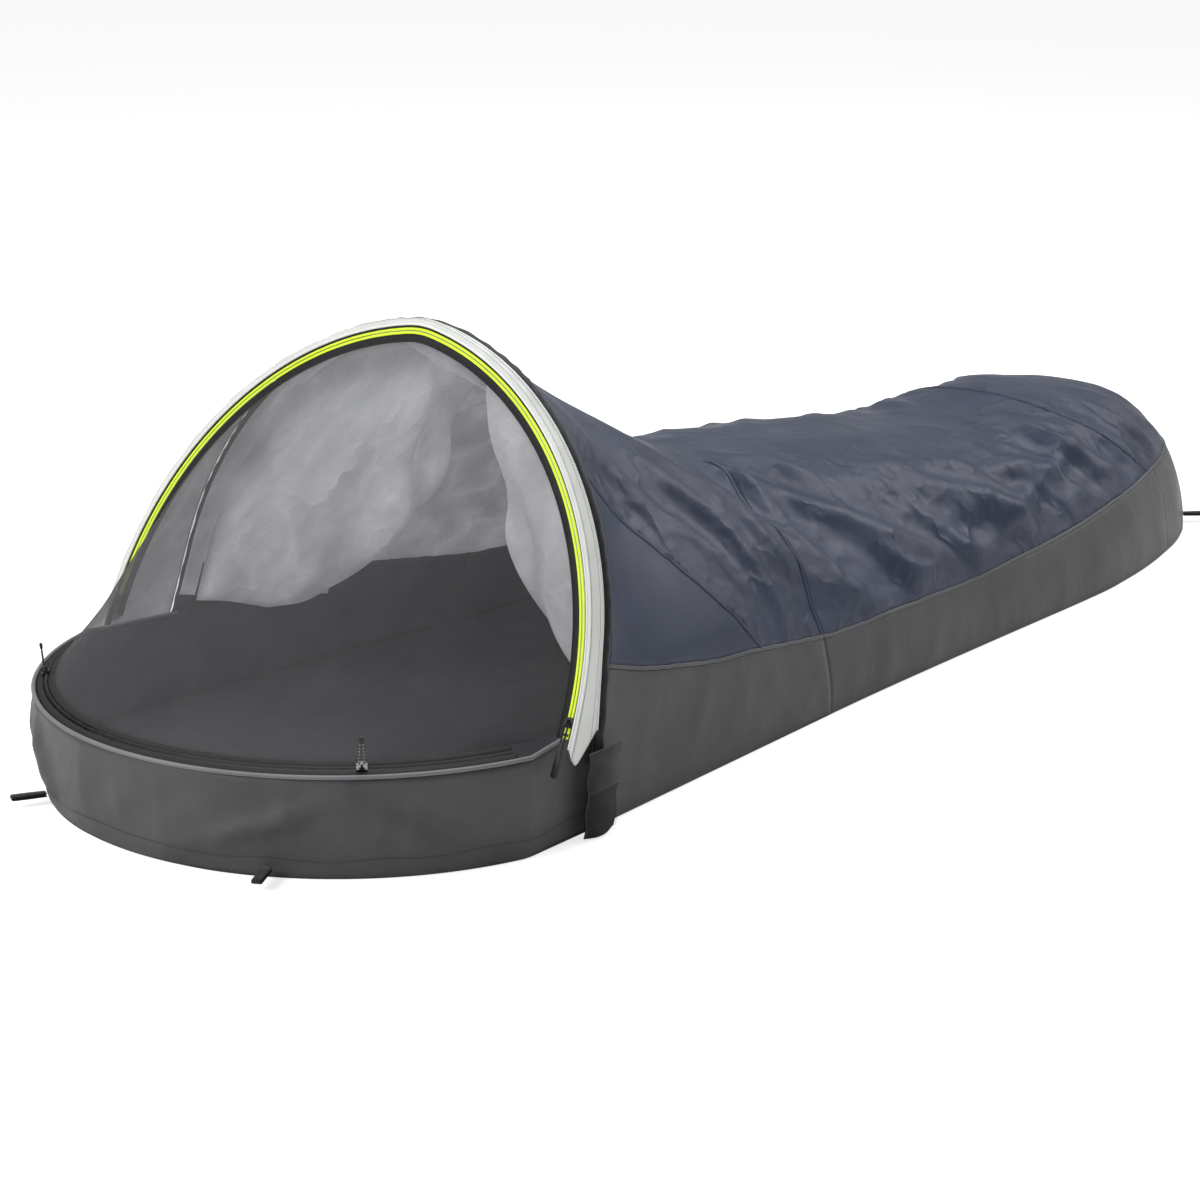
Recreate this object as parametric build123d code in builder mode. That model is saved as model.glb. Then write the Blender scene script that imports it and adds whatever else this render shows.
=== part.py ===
from build123d import *
import os
from math import asin, cos, degrees, pi, radians, sin, tan

# Hooped bivy sack, in millimetres. The origin is on the ground, midway between the two feet
# of the pole hoop. +X is the occupant's right when lying on the back with the head at -Y,
# +Y runs to the foot end and +Z is up.

os.makedirs("parts", exist_ok=True)

# ---------------------------------------------------------------- driving dimensions
TUB_FABRIC = 2.0
SHELL_FABRIC = 1.5
MESH_THICKNESS = 1.0
SEAM_GAP = 0.4

HEAD_RADIUS = 376.0  # ground radius of the round head end
RIM_RADIUS = 385.0  # the head wall flares to this radius at its rim
RIM_HEIGHT = 118.0
HEAD_WALL_END = 16.0  # degrees short of the hoop line at which the round wall stops
BINDING_RADIUS = 2.5

HOOP_LEAN = 14.5  # degrees the pole hoop leans back towards the foot
PIVOT_HEIGHT = 6.5  # the pole's ball tips rest in their pockets at this height
POLE_RADIUS = 4.3
POLE_BORE = 3.7
SLEEVE_RADIUS = 7.0
SLEEVE_BORE = 5.4

ZIP_LEAN = 24.0  # degrees the hoop zip leans back
ZIP_ORIGIN = (0.0, -55.0, 130.0)  # midpoint between the centres of its two side arcs
ZIP_SLIDER_ANGLE = 2.5  # degrees up the side arc at which a closed slider stops
ZIP_STOP_ANGLE = 0.6
COIL_RADIUS = 1.6
TAPE_GAP = 3.6  # from the coil's centre line to the near edge of either tape
TAPE_WIDTH = 9.0
TAPE_THICKNESS = 0.8
RIM_COIL = (369.6, 125.8)  # radius and height of the rim zip's coil
RIM_TAPE_SLOPE = 25.0  # degrees the rim zip's tapes rise inwards
RIM_SLIDER_ANGLE = -45.0
SLIDER_LENGTH = 12.0
CORD_RADIUS = 1.0

FLAP_THICKNESS = 1.0
STAKE_LOOP_ANGLE = 29.0  # degrees either side of the head's middle
STAKE_LOOP_LENGTH = 42.0
WEBBING_WIDTH = 12.0

HOOD_END = 520.0  # station where the hood meets the body
WALL_TOP = [(-60, 200), (80, 160), (240, 132), (520, 97), (850, 90), (1150, 100), (1430, 125), (1720, 140)]
# station from the hoop line, half width on the ground, height of the crown
BODY_STATIONS = [
    (520, 322, 305),
    (640, 315, 281),
    (940, 304, 257),
    (1240, 296, 226),
    (1400, 272, 231),
    (1530, 238, 220),
    (1620, 198, 192),
    (1665, 152, 160),
    (1680, 110, 128),
]
SECTION_POWER = 2.6  # exponent of the superellipse that every body section follows
SECTION_POINTS = 16
BODY_SECTIONS = 14

CAP_RIDGE = (1340.0, 230.0)  # station and height where the foot cap's seam crosses the ridge
CAP_SIDE = (1480.0, 100.0)  # and where it meets the tub wall
GUSSET_TOP = (110.0, 430.0)  # station and height where the side gusset's seam leaves the hoop
GUSSET_LOW = (390.0, 110.0)


# ---------------------------------------------------------------- shared geometry
class Arch:
    """Pointed arch: two side arcs whose centres are offset across the middle, and a small crown arc."""

    def __init__(self, side, offset, crown, height, first):
        self.side = side
        self.offset = offset
        self.crown = crown
        self.height = height
        self.first = first  # angle above level at which the right side arc starts
        self.top = 90 - degrees(asin(offset / (side - crown)))
        self.crown_height = height + (side - crown) * sin(radians(self.top))

    def draw(self, grow=0.0, legs=False, first=None):
        """Draws the arch from right to left into the current BuildLine, offset outwards by grow."""
        first = self.first if first is None else first
        sweep_angle = self.top - first
        if legs:
            Line(self.foot(grow), self.leg_top(grow))
        CenterArc((-self.offset, self.height), self.side + grow, first, sweep_angle)
        CenterArc((0, self.crown_height), self.crown + grow, self.top, 180 - 2 * self.top)
        CenterArc((self.offset, self.height), self.side + grow, 180 - self.top, sweep_angle)
        if legs:
            Line(mirrored(self.leg_top(grow)), mirrored(self.foot(grow)))

    def leg_top(self, grow=0.0):
        angle = radians(self.first)
        radius = self.side + grow
        return (-self.offset + radius * cos(angle), self.height + radius * sin(angle))

    def foot(self, grow=0.0, height=0.0):
        """Point of the straight right leg at this height in the arch's plane."""
        x, y = self.leg_top(grow)
        return (x + (y - height) * tan(radians(self.first)), height)


def mirrored(point):
    return (-point[0], point[1])


def leaning_plane(lean, origin=(0, 0, 0), forward=0.0):
    """Plane that holds X, leans back by lean degrees and faces the head end."""
    tilt = radians(lean)
    normal = Vector(0, -cos(tilt), sin(tilt))
    return Plane(origin=Vector(*origin) + normal * forward, x_dir=(1, 0, 0), z_dir=normal)


POLE_ARCH = Arch(side=368.0, offset=25.0, crown=150.0, height=165.0, first=7.6)
HOOD_ARCH = Arch(side=370.0, offset=25.0, crown=150.0, height=163.0, first=3.8)
ZIP_ARCH = Arch(side=425.0, offset=50.0, crown=120.0, height=0.0, first=0.0)

PIVOT = (0.0, 0.0, PIVOT_HEIGHT)
HOOP_PLANE = leaning_plane(HOOP_LEAN, PIVOT)
HOOD_FRONT = leaning_plane(HOOP_LEAN, PIVOT, forward=-(SLEEVE_RADIUS + 2))
FLAP_REAR = leaning_plane(HOOP_LEAN, PIVOT, forward=SLEEVE_RADIUS + 2)
ZIP_PLANE = leaning_plane(ZIP_LEAN, ZIP_ORIGIN)
# Height in the plane of the hood's front edge at which it meets the top of the floor.
HOOD_BASE = (TUB_FABRIC - HOOD_FRONT.origin.Z) / cos(radians(HOOP_LEAN)) + 0.1


def arch_wire(arch, plane, grow=0.0, legs=False, first=None):
    with BuildLine(plane) as line:
        arch.draw(grow, legs, first)
    return line.wires()[0]


def tube_along(wire, outer, inner=0.0):
    """Round tube or cord swept along a wire."""
    with BuildPart() as tube:
        with BuildSketch(Plane(origin=wire @ 0, z_dir=wire % 0)):
            Circle(outer)
            if inner:
                Circle(inner, mode=Mode.SUBTRACT)
        sweep(path=wire)
    return tube


def band_along(wire, normal, width, thickness):
    """Flat tape swept along a planar wire, its width lying in the wire's plane."""
    with BuildPart() as band:
        with BuildSketch(Plane(origin=wire @ 0, x_dir=normal, z_dir=wire % 0)):
            Rectangle(thickness, width)
        sweep(path=wire)
    return band


def ruled_sheet(first, second, thickness):
    """Thin sheet of straight lines between two curves, each a list of points."""
    surface = Face.make_surface_from_curves(Edge.make_spline(first), Edge.make_spline(second))
    with BuildPart() as sheet:
        thicken(to_thicken=surface, amount=thickness)
    return sheet


def write(part, name):
    part.part.label = name
    export_step(part.part, f"parts/{name}.step")


SIDES = {"right": 1, "left": -1}


def write_pair(part, name):
    """Writes a part made on the +X side, and its mirror image on the other side."""
    with BuildPart() as other:
        add(part.part)
        mirror(about=Plane.YZ, mode=Mode.REPLACE)
    write(part, f"{name}_right")
    write(other, f"{name}_left")


# ---------------------------------------------------------------- tub: floor and walls
def polar(radius, angle, z=0.0):
    turn = radians(angle)
    return (radius * cos(turn), radius * sin(turn), z)


WALL_START = HOOD_ARCH.foot()[0]  # half width of the tub just behind the pole feet
GROUND_EDGE = [(WALL_START, 9.0)] + [(half, y) for y, half, _ in BODY_STATIONS]
head_end = polar(HEAD_RADIUS, -HEAD_WALL_END)

with BuildPart() as floor_panel:
    with BuildSketch():
        with BuildLine():
            CenterArc((0, 0), HEAD_RADIUS, HEAD_WALL_END - 180, 180 - 2 * HEAD_WALL_END)
            Line(head_end[:2], GROUND_EDGE[0])
            Line(GROUND_EDGE[0], GROUND_EDGE[1])
            Spline(*GROUND_EDGE[1:])
            Line(GROUND_EDGE[-1], mirrored(GROUND_EDGE[-1]))
            Spline(*[mirrored(point) for point in reversed(GROUND_EDGE[1:])])
            Line(mirrored(GROUND_EDGE[1]), mirrored(GROUND_EDGE[0]))
            Line(mirrored(GROUND_EDGE[0]), mirrored(head_end[:2]))
        make_face()
    extrude(amount=TUB_FABRIC)
write(floor_panel, "floor_panel")

# Round wall of the head end, and the two straight returns that pass inside the pole feet.
RETURN_LOW = TUB_FABRIC + 0.3  # the tilted returns stop just above the floor
RETURN_REAR_LOW = (WALL_START - 2, 8.0, RETURN_LOW)
RETURN_REAR_HIGH = (WALL_START - 15, 36.0, RIM_HEIGHT)

with BuildPart() as round_wall:
    with BuildSketch(Plane.XZ):
        with BuildLine():
            Polyline(
                (HEAD_RADIUS, TUB_FABRIC),
                (RIM_RADIUS, RIM_HEIGHT),
                (RIM_RADIUS - TUB_FABRIC, RIM_HEIGHT),
                (HEAD_RADIUS - TUB_FABRIC, TUB_FABRIC),
                close=True,
            )
        make_face()
    revolve(axis=Axis.Z, revolution_arc=-(180 - 2 * HEAD_WALL_END))
with BuildPart() as head_wall:
    add(round_wall.part.rotate(Axis.Z, -HEAD_WALL_END))
    for side in SIDES.values():
        low_front = polar(HEAD_RADIUS - 1.5, -HEAD_WALL_END - 0.2, RETURN_LOW)
        high_front = polar(RIM_RADIUS - 1.5, -HEAD_WALL_END - 0.2, RIM_HEIGHT)
        corners = [low_front, RETURN_REAR_LOW, high_front, RETURN_REAR_HIGH]
        low_a, low_b, high_a, high_b = [(side * x, y, z) for x, y, z in corners]
        low_edge = Edge.make_line(low_a, low_b)
        high_edge = Edge.make_line(high_a, high_b)
        surface = Face.make_surface_from_curves(low_edge, high_edge)
        thicken(to_thicken=surface, amount=TUB_FABRIC)
write(head_wall, "head_wall")


def around_head(profile, trim=0.0):
    """Turns a face drawn in the XZ plane about the head's centre, over the round part of the head."""
    start = HEAD_WALL_END + trim
    with BuildPart() as ring:
        add(profile.rotate(Axis.Z, -start))
        revolve(axis=Axis.Z, revolution_arc=-(180 - 2 * start))
    return ring


BINDING_HEIGHT = RIM_HEIGHT + BINDING_RADIUS + 0.2
BINDING_STOP = 16.0  # the binding ends this far short of the wall's rear corner
with BuildSketch(Plane.XZ) as binding_profile:
    with Locations((RIM_RADIUS - 1, BINDING_HEIGHT)):
        Circle(BINDING_RADIUS)
with BuildLine() as return_top:
    front_x, front_y, _ = polar(RIM_RADIUS - 1, -HEAD_WALL_END)
    rear_x, rear_y, _ = RETURN_REAR_HIGH
    Line((front_x, front_y, BINDING_HEIGHT), (rear_x + 1, rear_y - BINDING_STOP, BINDING_HEIGHT))
return_binding = tube_along(return_top.wires()[0], BINDING_RADIUS)
round_binding = around_head(binding_profile.sketch)
with BuildPart() as rim_binding:
    add(return_binding.part)
    mirror(about=Plane.YZ)
    add(round_binding.part)
write(rim_binding, "rim_binding")


# ---------------------------------------------------------------- body and hood shells
def section_points(half_width, height, inset):
    """Points of a superellipse arch from its right foot to its left foot."""
    half = half_width - inset
    top = height - inset
    points = []
    for step in range(SECTION_POINTS + 1):
        angle = pi * step / SECTION_POINTS
        across = abs(cos(angle)) ** (2 / SECTION_POWER)
        up = sin(angle) ** (2 / SECTION_POWER)
        points.append((half * across * (1 if angle < pi / 2 else -1), TUB_FABRIC + (top - TUB_FABRIC) * up))
    return points


def hood_points(inset):
    """The same number of points, evenly spaced along the hood's front arch."""
    wire = arch_wire(HOOD_ARCH, Plane.XY, grow=-inset, legs=True)
    points = [wire @ (step / SECTION_POINTS) for step in range(SECTION_POINTS + 1)]
    return [(point.X, max(point.Y, HOOD_BASE)) for point in points]


def arch_face(plane, points):
    with BuildSketch(plane) as sketch:
        with BuildLine():
            Spline(*points)
            Line(points[-1], points[0])
        make_face()
    return sketch.sketch


def station_face(station, half_width, height, inset):
    plane = Plane(origin=(0, station, 0), x_dir=(1, 0, 0), z_dir=(0, -1, 0))
    return arch_face(plane, section_points(half_width, height, inset))


def body_loft(inset):
    """Solid that fills the body from HOOD_END to the foot, inset from the cloth's outer face."""
    profile = Edge.make_spline([(half, station, height) for station, half, height in BODY_STATIONS])
    faces = []
    for step in range(BODY_SECTIONS + 1):
        half, station, height = profile @ (step / BODY_SECTIONS)
        station -= inset if step == BODY_SECTIONS else 0
        faces.append(station_face(station, half, height, inset))
    with BuildPart() as solid:
        loft(faces, ruled=True)
    return solid


def hood_loft(inset, rear=HOOD_END):
    """Solid between the hoop's rear side and the body's first section, ruled straight like taut cloth."""
    front = arch_face(HOOD_FRONT, hood_points(inset))
    back = station_face(rear, *BODY_STATIONS[0][1:], inset)
    with BuildPart() as solid:
        loft([front, back], ruled=True)
    return solid


def shell_of(outer, inner):
    with BuildPart() as shell:
        add(outer.part)
        add(inner.part, mode=Mode.SUBTRACT)
    return shell


def below_seam(shift):
    """Block that holds everything under the seam between tub wall and shell, moved up by shift."""
    with BuildPart() as block:
        with BuildSketch(Plane.YZ):
            with BuildLine():
                seam = Spline(*[(y, z + shift) for y, z in WALL_TOP])
                Polyline(seam @ 1, (WALL_TOP[-1][0], -50), (WALL_TOP[0][0], -50), seam @ 0)
            make_face()
        extrude(amount=500, both=True)
    return block


def seam_plane(high, low, shift=0.0):
    """Plane that holds X and passes through two (station, height) points, facing the foot end."""
    run = low[0] - high[0]
    fall = high[1] - low[1]
    normal = Vector(0, fall, run).normalized()
    return Plane(origin=Vector(0, high[0], high[1]) + normal * shift, x_dir=(1, 0, 0), z_dir=normal)


def cut_out(shell, name, planes, block=None, block_mode=None):
    """Cuts a panel out of a shell: each plane keeps the side named with it."""
    with BuildPart() as panel:
        add(shell.part)
        for plane, keep in planes:
            split(bisect_by=plane, keep=keep)
        if block is not None:
            add(block.part, mode=block_mode)
    write(panel, name)


WALL_BLOCK = below_seam(-SEAM_GAP / 2)
SHELL_BLOCK = below_seam(SEAM_GAP / 2)
CAP_FRONT = seam_plane(CAP_RIDGE, CAP_SIDE, -SEAM_GAP / 2)
CAP_REAR = seam_plane(CAP_RIDGE, CAP_SIDE, SEAM_GAP / 2)
GUSSET_FRONT = seam_plane(GUSSET_TOP, GUSSET_LOW, -SEAM_GAP / 2)
GUSSET_REAR = seam_plane(GUSSET_TOP, GUSSET_LOW, SEAM_GAP / 2)
RIGHT_OF = Plane.YZ.offset(SEAM_GAP / 2)
LEFT_OF = Plane.YZ.offset(-SEAM_GAP / 2)
FOOT_WALL_FRONT = Plane.XZ.offset(-(CAP_SIDE[0] - SEAM_GAP))
FOOT_WALL_REAR = Plane.XZ.offset(-CAP_SIDE[0])

tub_shell = shell_of(body_loft(0), body_loft(TUB_FABRIC))
body_shell = shell_of(body_loft(0), body_loft(SHELL_FABRIC))
# The hood stops a seam's width short of the body.
hood_tub_shell = shell_of(hood_loft(0, HOOD_END - SEAM_GAP), hood_loft(TUB_FABRIC, HOOD_END - SEAM_GAP))
hood_shell = shell_of(hood_loft(0, HOOD_END - SEAM_GAP), hood_loft(SHELL_FABRIC, HOOD_END - SEAM_GAP))

for side_name, half_plane, keep in (("right", RIGHT_OF, Keep.TOP), ("left", LEFT_OF, Keep.BOTTOM)):
    side_half = (half_plane, keep)
    cut_out(hood_tub_shell, f"side_wall_front_{side_name}", [side_half], WALL_BLOCK, Mode.INTERSECT)
    rear_wall = [side_half, (FOOT_WALL_FRONT, Keep.TOP)]
    cut_out(tub_shell, f"side_wall_rear_{side_name}", rear_wall, WALL_BLOCK, Mode.INTERSECT)
    gusset = [side_half, (GUSSET_FRONT, Keep.BOTTOM)]
    cut_out(hood_shell, f"hood_gusset_{side_name}", gusset, SHELL_BLOCK, Mode.SUBTRACT)
cut_out(tub_shell, "foot_wall", [(FOOT_WALL_REAR, Keep.BOTTOM)], WALL_BLOCK, Mode.INTERSECT)
cut_out(hood_shell, "hood_panel", [(GUSSET_REAR, Keep.TOP)], SHELL_BLOCK, Mode.SUBTRACT)
cut_out(body_shell, "body_panel", [(CAP_FRONT, Keep.BOTTOM)], SHELL_BLOCK, Mode.SUBTRACT)
cut_out(body_shell, "foot_cap", [(CAP_REAR, Keep.TOP)], SHELL_BLOCK, Mode.SUBTRACT)


# ---------------------------------------------------------------- pole hoop
POLE_PATH = arch_wire(POLE_ARCH, HOOP_PLANE, legs=True)
POLE_LENGTH = POLE_PATH.length
TUBE_START = 12.0  # the tips' balls and collars fill the first part of the path
FERRULE_LENGTH = 70.0
SLEEVE_START = 75.0
POLE_JOINTS = (1 / 3, 2 / 3)


def pole_span(start, end):
    """Part of the pole's path between two distances from the right tip."""
    return POLE_PATH.trim(start / POLE_LENGTH, end / POLE_LENGTH)


JOINT_DISTANCES = [share * POLE_LENGTH for share in POLE_JOINTS]
TUBE_ENDS = [TUBE_START, *JOINT_DISTANCES, POLE_LENGTH - TUBE_START]
POLE_JOINT_GAP = 0.2
for index, name in enumerate(("pole_section_right", "pole_section_centre", "pole_section_left")):
    start, end = TUBE_ENDS[index], TUBE_ENDS[index + 1]
    span = pole_span(start + POLE_JOINT_GAP, end - POLE_JOINT_GAP)
    write(tube_along(span, POLE_RADIUS, POLE_BORE), name)

FERRULE_RADIUS = POLE_BORE - 0.08
FERRULE_WALL = 0.82
ferrules = []
for distance in JOINT_DISTANCES:
    span = pole_span(distance - FERRULE_LENGTH / 2, distance + FERRULE_LENGTH / 2)
    ferrules.append(tube_along(span, FERRULE_RADIUS, FERRULE_RADIUS - FERRULE_WALL).part)
with BuildPart() as pole_ferrules:
    add(ferrules)
write(pole_ferrules, "pole_ferrules")

SPIGOT_LENGTH = 18.0
with BuildPart() as right_tip:
    leg_plane = Plane(origin=POLE_PATH @ 0, z_dir=POLE_PATH % 0)
    with BuildSketch(leg_plane):
        Circle(POLE_RADIUS)
    extrude(amount=TUBE_START)
    with BuildSketch(leg_plane):
        Circle(FERRULE_RADIUS)
    extrude(amount=TUBE_START + SPIGOT_LENGTH)
    add(Solid.make_sphere(POLE_RADIUS).moved(Location(POLE_PATH @ 0)))
with BuildPart() as pole_tips:
    add(right_tip.part)
    mirror(about=Plane.YZ)
write(pole_tips, "pole_tips")

SHOCK_CORD_RADIUS = 1.2
CORD_START = TUBE_START + SPIGOT_LENGTH + 0.5
cord_span = pole_span(CORD_START, POLE_LENGTH - CORD_START)
write(tube_along(cord_span, SHOCK_CORD_RADIUS), "shock_cord")
sleeve_span = pole_span(SLEEVE_START, POLE_LENGTH - SLEEVE_START)
write(tube_along(sleeve_span, SLEEVE_RADIUS, SLEEVE_BORE), "pole_sleeve")

# The pocket is a patch that wraps the outside of the pole's foot, with a base under the ball tip.
POCKET_LOW = [(363, -42), (378, -14), (378, 12), (360, 50)]
POCKET_HIGH = [(365, -22), (370, 5), (368, 40), (359, 66)]
POCKET_HEIGHT = 98.0
patch_low = [(x, y, TUB_FABRIC) for x, y in POCKET_LOW]
patch_high = [(x, y, POCKET_HEIGHT) for x, y in POCKET_HIGH]
pocket_patch = ruled_sheet(patch_low, patch_high, SHELL_FABRIC)
with BuildPart() as pole_pocket:
    add(pocket_patch.part)
    with BuildSketch():
        with BuildLine():
            outer_edge = Spline(*POCKET_LOW)
            Line(outer_edge @ 1, outer_edge @ 0)
        make_face()
    extrude(amount=TUB_FABRIC)
write_pair(pole_pocket, "pole_pocket")


# ---------------------------------------------------------------- hoop zip, storm flap and mesh door
ZIP_NORMAL = ZIP_PLANE.z_dir
OUTER_TAPE = TAPE_GAP + TAPE_WIDTH / 2
TAPE_EDGE = TAPE_GAP + TAPE_WIDTH

write(tube_along(arch_wire(ZIP_ARCH, ZIP_PLANE), COIL_RADIUS), "hoop_zip_coil")
outer_path = arch_wire(ZIP_ARCH, ZIP_PLANE, grow=OUTER_TAPE)
inner_path = arch_wire(ZIP_ARCH, ZIP_PLANE, grow=-OUTER_TAPE)
write(band_along(outer_path, ZIP_NORMAL, TAPE_WIDTH, TAPE_THICKNESS), "hoop_zip_tape_outer")
write(band_along(inner_path, ZIP_NORMAL, TAPE_WIDTH, TAPE_THICKNESS), "hoop_zip_tape_inner")


def spaced(wire, count, start=0.0):
    """Evenly spaced points from this share of the wire's length to the same share before its end."""
    return [wire @ (start + (1 - 2 * start) * step / count) for step in range(count + 1)]


FLAP_LOW = 112.0  # distance up the pole at which the storm flap ends
flap_front = spaced(arch_wire(ZIP_ARCH, ZIP_PLANE, grow=TAPE_EDGE + 0.6), 24)
flap_path = arch_wire(POLE_ARCH, FLAP_REAR, legs=True)
flap_rear = spaced(flap_path, 24, FLAP_LOW / flap_path.length)
write(ruled_sheet(flap_front, flap_rear, FLAP_THICKNESS), "storm_flap")

RIM_RISE = Vector(-cos(radians(RIM_TAPE_SLOPE)), 0, sin(radians(RIM_TAPE_SLOPE)))
MESH_RIM = Vector(RIM_COIL[0], 0, RIM_COIL[1]) + RIM_RISE * (TAPE_EDGE + 0.8)
mesh_span = 180 - 2 * HEAD_WALL_END
mesh_rim = [polar(MESH_RIM.X, -HEAD_WALL_END - mesh_span * step / 24, MESH_RIM.Z) for step in range(25)]
mesh_top = spaced(arch_wire(ZIP_ARCH, ZIP_PLANE, grow=-(TAPE_EDGE + 0.8)), 24)
write(ruled_sheet(mesh_rim, mesh_top, MESH_THICKNESS), "mesh_door")


# ---------------------------------------------------------------- rim zip
def rim_tape(distance):
    """Cross-section of a rim tape whose middle is this far up the slope from the coil."""
    centre = Vector(RIM_COIL[0], 0, RIM_COIL[1]) + RIM_RISE * distance
    plane = Plane(origin=centre, x_dir=RIM_RISE, z_dir=(0, -1, 0))
    with BuildSketch(plane) as profile:
        Rectangle(TAPE_WIDTH - 1, TAPE_THICKNESS)
    return profile.sketch


with BuildSketch(Plane.XZ) as coil_profile:
    with Locations(RIM_COIL):
        Circle(COIL_RADIUS)
write(around_head(coil_profile.sketch, 2), "rim_zip_coil")
write(around_head(rim_tape(-OUTER_TAPE + 0.5), 2), "rim_zip_tape_lower")
write(around_head(rim_tape(OUTER_TAPE - 0.5), 2), "rim_zip_tape_upper")


# ---------------------------------------------------------------- sliders and pulls
SLIDER_HALF_WIDTH = 5.5
SLIDER_HALF_DEPTH = 3.1
TUNNEL = (4.1, 3.9)
SLOT_WIDTH = 2.6
SLOT_DEPTH = 2.4
BAIL_HEIGHT = 2.9  # from the slider's face to the middle of the bail's hole
BAIL_HOLE = 1.5
BAIL_RIM = 0.7
BAIL_LENGTH = 6.0
BAIL_THICKNESS = 2.4


def slider_on(plane, bail_axis, bail_along):
    """Slider whose plane holds the zip's travel as z, the tape's width as x and its outer face as y.

    The bail's hole runs along bail_axis, and its lug is long in the direction bail_along."""
    with BuildPart() as slider:
        with BuildSketch(plane.offset(-SLIDER_LENGTH / 2)):
            Rectangle(2 * SLIDER_HALF_WIDTH, 2 * SLIDER_HALF_DEPTH)
            Rectangle(*TUNNEL, mode=Mode.SUBTRACT)
            for side in SIDES.values():
                with Locations((side * (SLIDER_HALF_WIDTH - 1), 0)):
                    Rectangle(SLOT_WIDTH, SLOT_DEPTH, mode=Mode.SUBTRACT)
        extrude(amount=SLIDER_LENGTH)
        bail_plane = Plane(origin=plane.origin, x_dir=bail_along, z_dir=bail_axis)
        hole_height = SLIDER_HALF_DEPTH + BAIL_HEIGHT
        root = SLIDER_HALF_DEPTH - 1
        top = hole_height + BAIL_HOLE + BAIL_RIM
        with BuildSketch(bail_plane.offset(-BAIL_THICKNESS / 2)):
            with Locations((0, (root + top) / 2)):
                Rectangle(BAIL_LENGTH, top - root)
            with Locations((0, hole_height)):
                Circle(BAIL_HOLE, mode=Mode.SUBTRACT)
        extrude(amount=BAIL_THICKNESS)
    return slider


def bail_point(plane):
    return plane.origin + plane.y_dir * (SLIDER_HALF_DEPTH + BAIL_HEIGHT)


LOOP_TAPER = 0.35  # share of its length at which a cord loop starts to narrow
CORD_BEND = 1.2


def cord_loop(plane, length, half_width, neck):
    """Cord through the bail at the plane's origin, its two strands running along -y and meeting at neck."""
    with BuildLine(plane) as path:
        Polyline(
            (-neck, -length),
            (-half_width, -LOOP_TAPER * length),
            (-half_width, 0),
            (half_width, 0),
            (half_width, -LOOP_TAPER * length),
            (neck, -length),
        )
        fillet(path.vertices().sort_by(Axis(plane.origin, plane.y_dir))[-2:], CORD_BEND)
    return tube_along(path.wires()[0], CORD_RADIUS)


LOOP_HALF_WIDTH = 3.0
GRIP_TOP = 24.0
GRIP_LENGTH = 40.0
GRIP_HALF_WIDTHS = (3.0, 5.0)
GRIP_THICKNESS = 4.4
GRIP_CORNER = 1.8


def hoop_pull(plane):
    """Cord loop and tapered moulded grip."""
    narrow, wide = GRIP_HALF_WIDTHS
    grip_end = GRIP_TOP + GRIP_LENGTH
    loop = cord_loop(plane, GRIP_TOP + 3, LOOP_HALF_WIDTH, narrow / 2)
    with BuildPart() as pull:
        add(loop.part)
        with BuildSketch(plane.offset(-GRIP_THICKNESS / 2)):
            with BuildLine():
                Polyline(
                    (-narrow, -GRIP_TOP),
                    (narrow, -GRIP_TOP),
                    (wide, -grip_end),
                    (-wide, -grip_end),
                    close=True,
                )
            grip = make_face()
            fillet(grip.vertices(), GRIP_CORNER)
        extrude(amount=GRIP_THICKNESS)
    return pull


RIM_CORD_LENGTH = 27.0
CRIMP = (5.0, 7.0, 3.6)


def rim_pull(plane):
    """Plain loop of cord, closed by a short crimp."""
    loop = cord_loop(plane, RIM_CORD_LENGTH, LOOP_HALF_WIDTH, CRIMP[0] / 4)
    with BuildPart() as pull:
        add(loop.part)
        with BuildSketch(plane.offset(-CRIMP[2] / 2)):
            with Locations((0, -RIM_CORD_LENGTH - 2)):
                Rectangle(CRIMP[0], CRIMP[1])
        extrude(amount=CRIMP[2])
    return pull


# The hoop sliders stand at the zip's lower ends. Their pulls lie down the zip plane, outside the tub.
slider_turn = radians(ZIP_SLIDER_ANGLE)
slider_local = Vector(
    -ZIP_ARCH.offset + ZIP_ARCH.side * cos(slider_turn), ZIP_ARCH.side * sin(slider_turn), 0
)
slider_radial = ZIP_PLANE.x_dir * cos(slider_turn) + ZIP_PLANE.y_dir * sin(slider_turn)
slider_travel = ZIP_PLANE.y_dir * cos(slider_turn) - ZIP_PLANE.x_dir * sin(slider_turn)
slider_centre = ZIP_PLANE.from_local_coords(slider_local)
hoop_slider_plane = Plane(origin=slider_centre, x_dir=slider_radial, z_dir=-slider_travel)
write_pair(slider_on(hoop_slider_plane, slider_radial, slider_travel), "hoop_slider")
hoop_bail = bail_point(hoop_slider_plane)
hoop_pull_plane = Plane(origin=hoop_bail, x_dir=slider_radial, z_dir=ZIP_NORMAL)
write_pair(hoop_pull(hoop_pull_plane), "hoop_pull")

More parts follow.
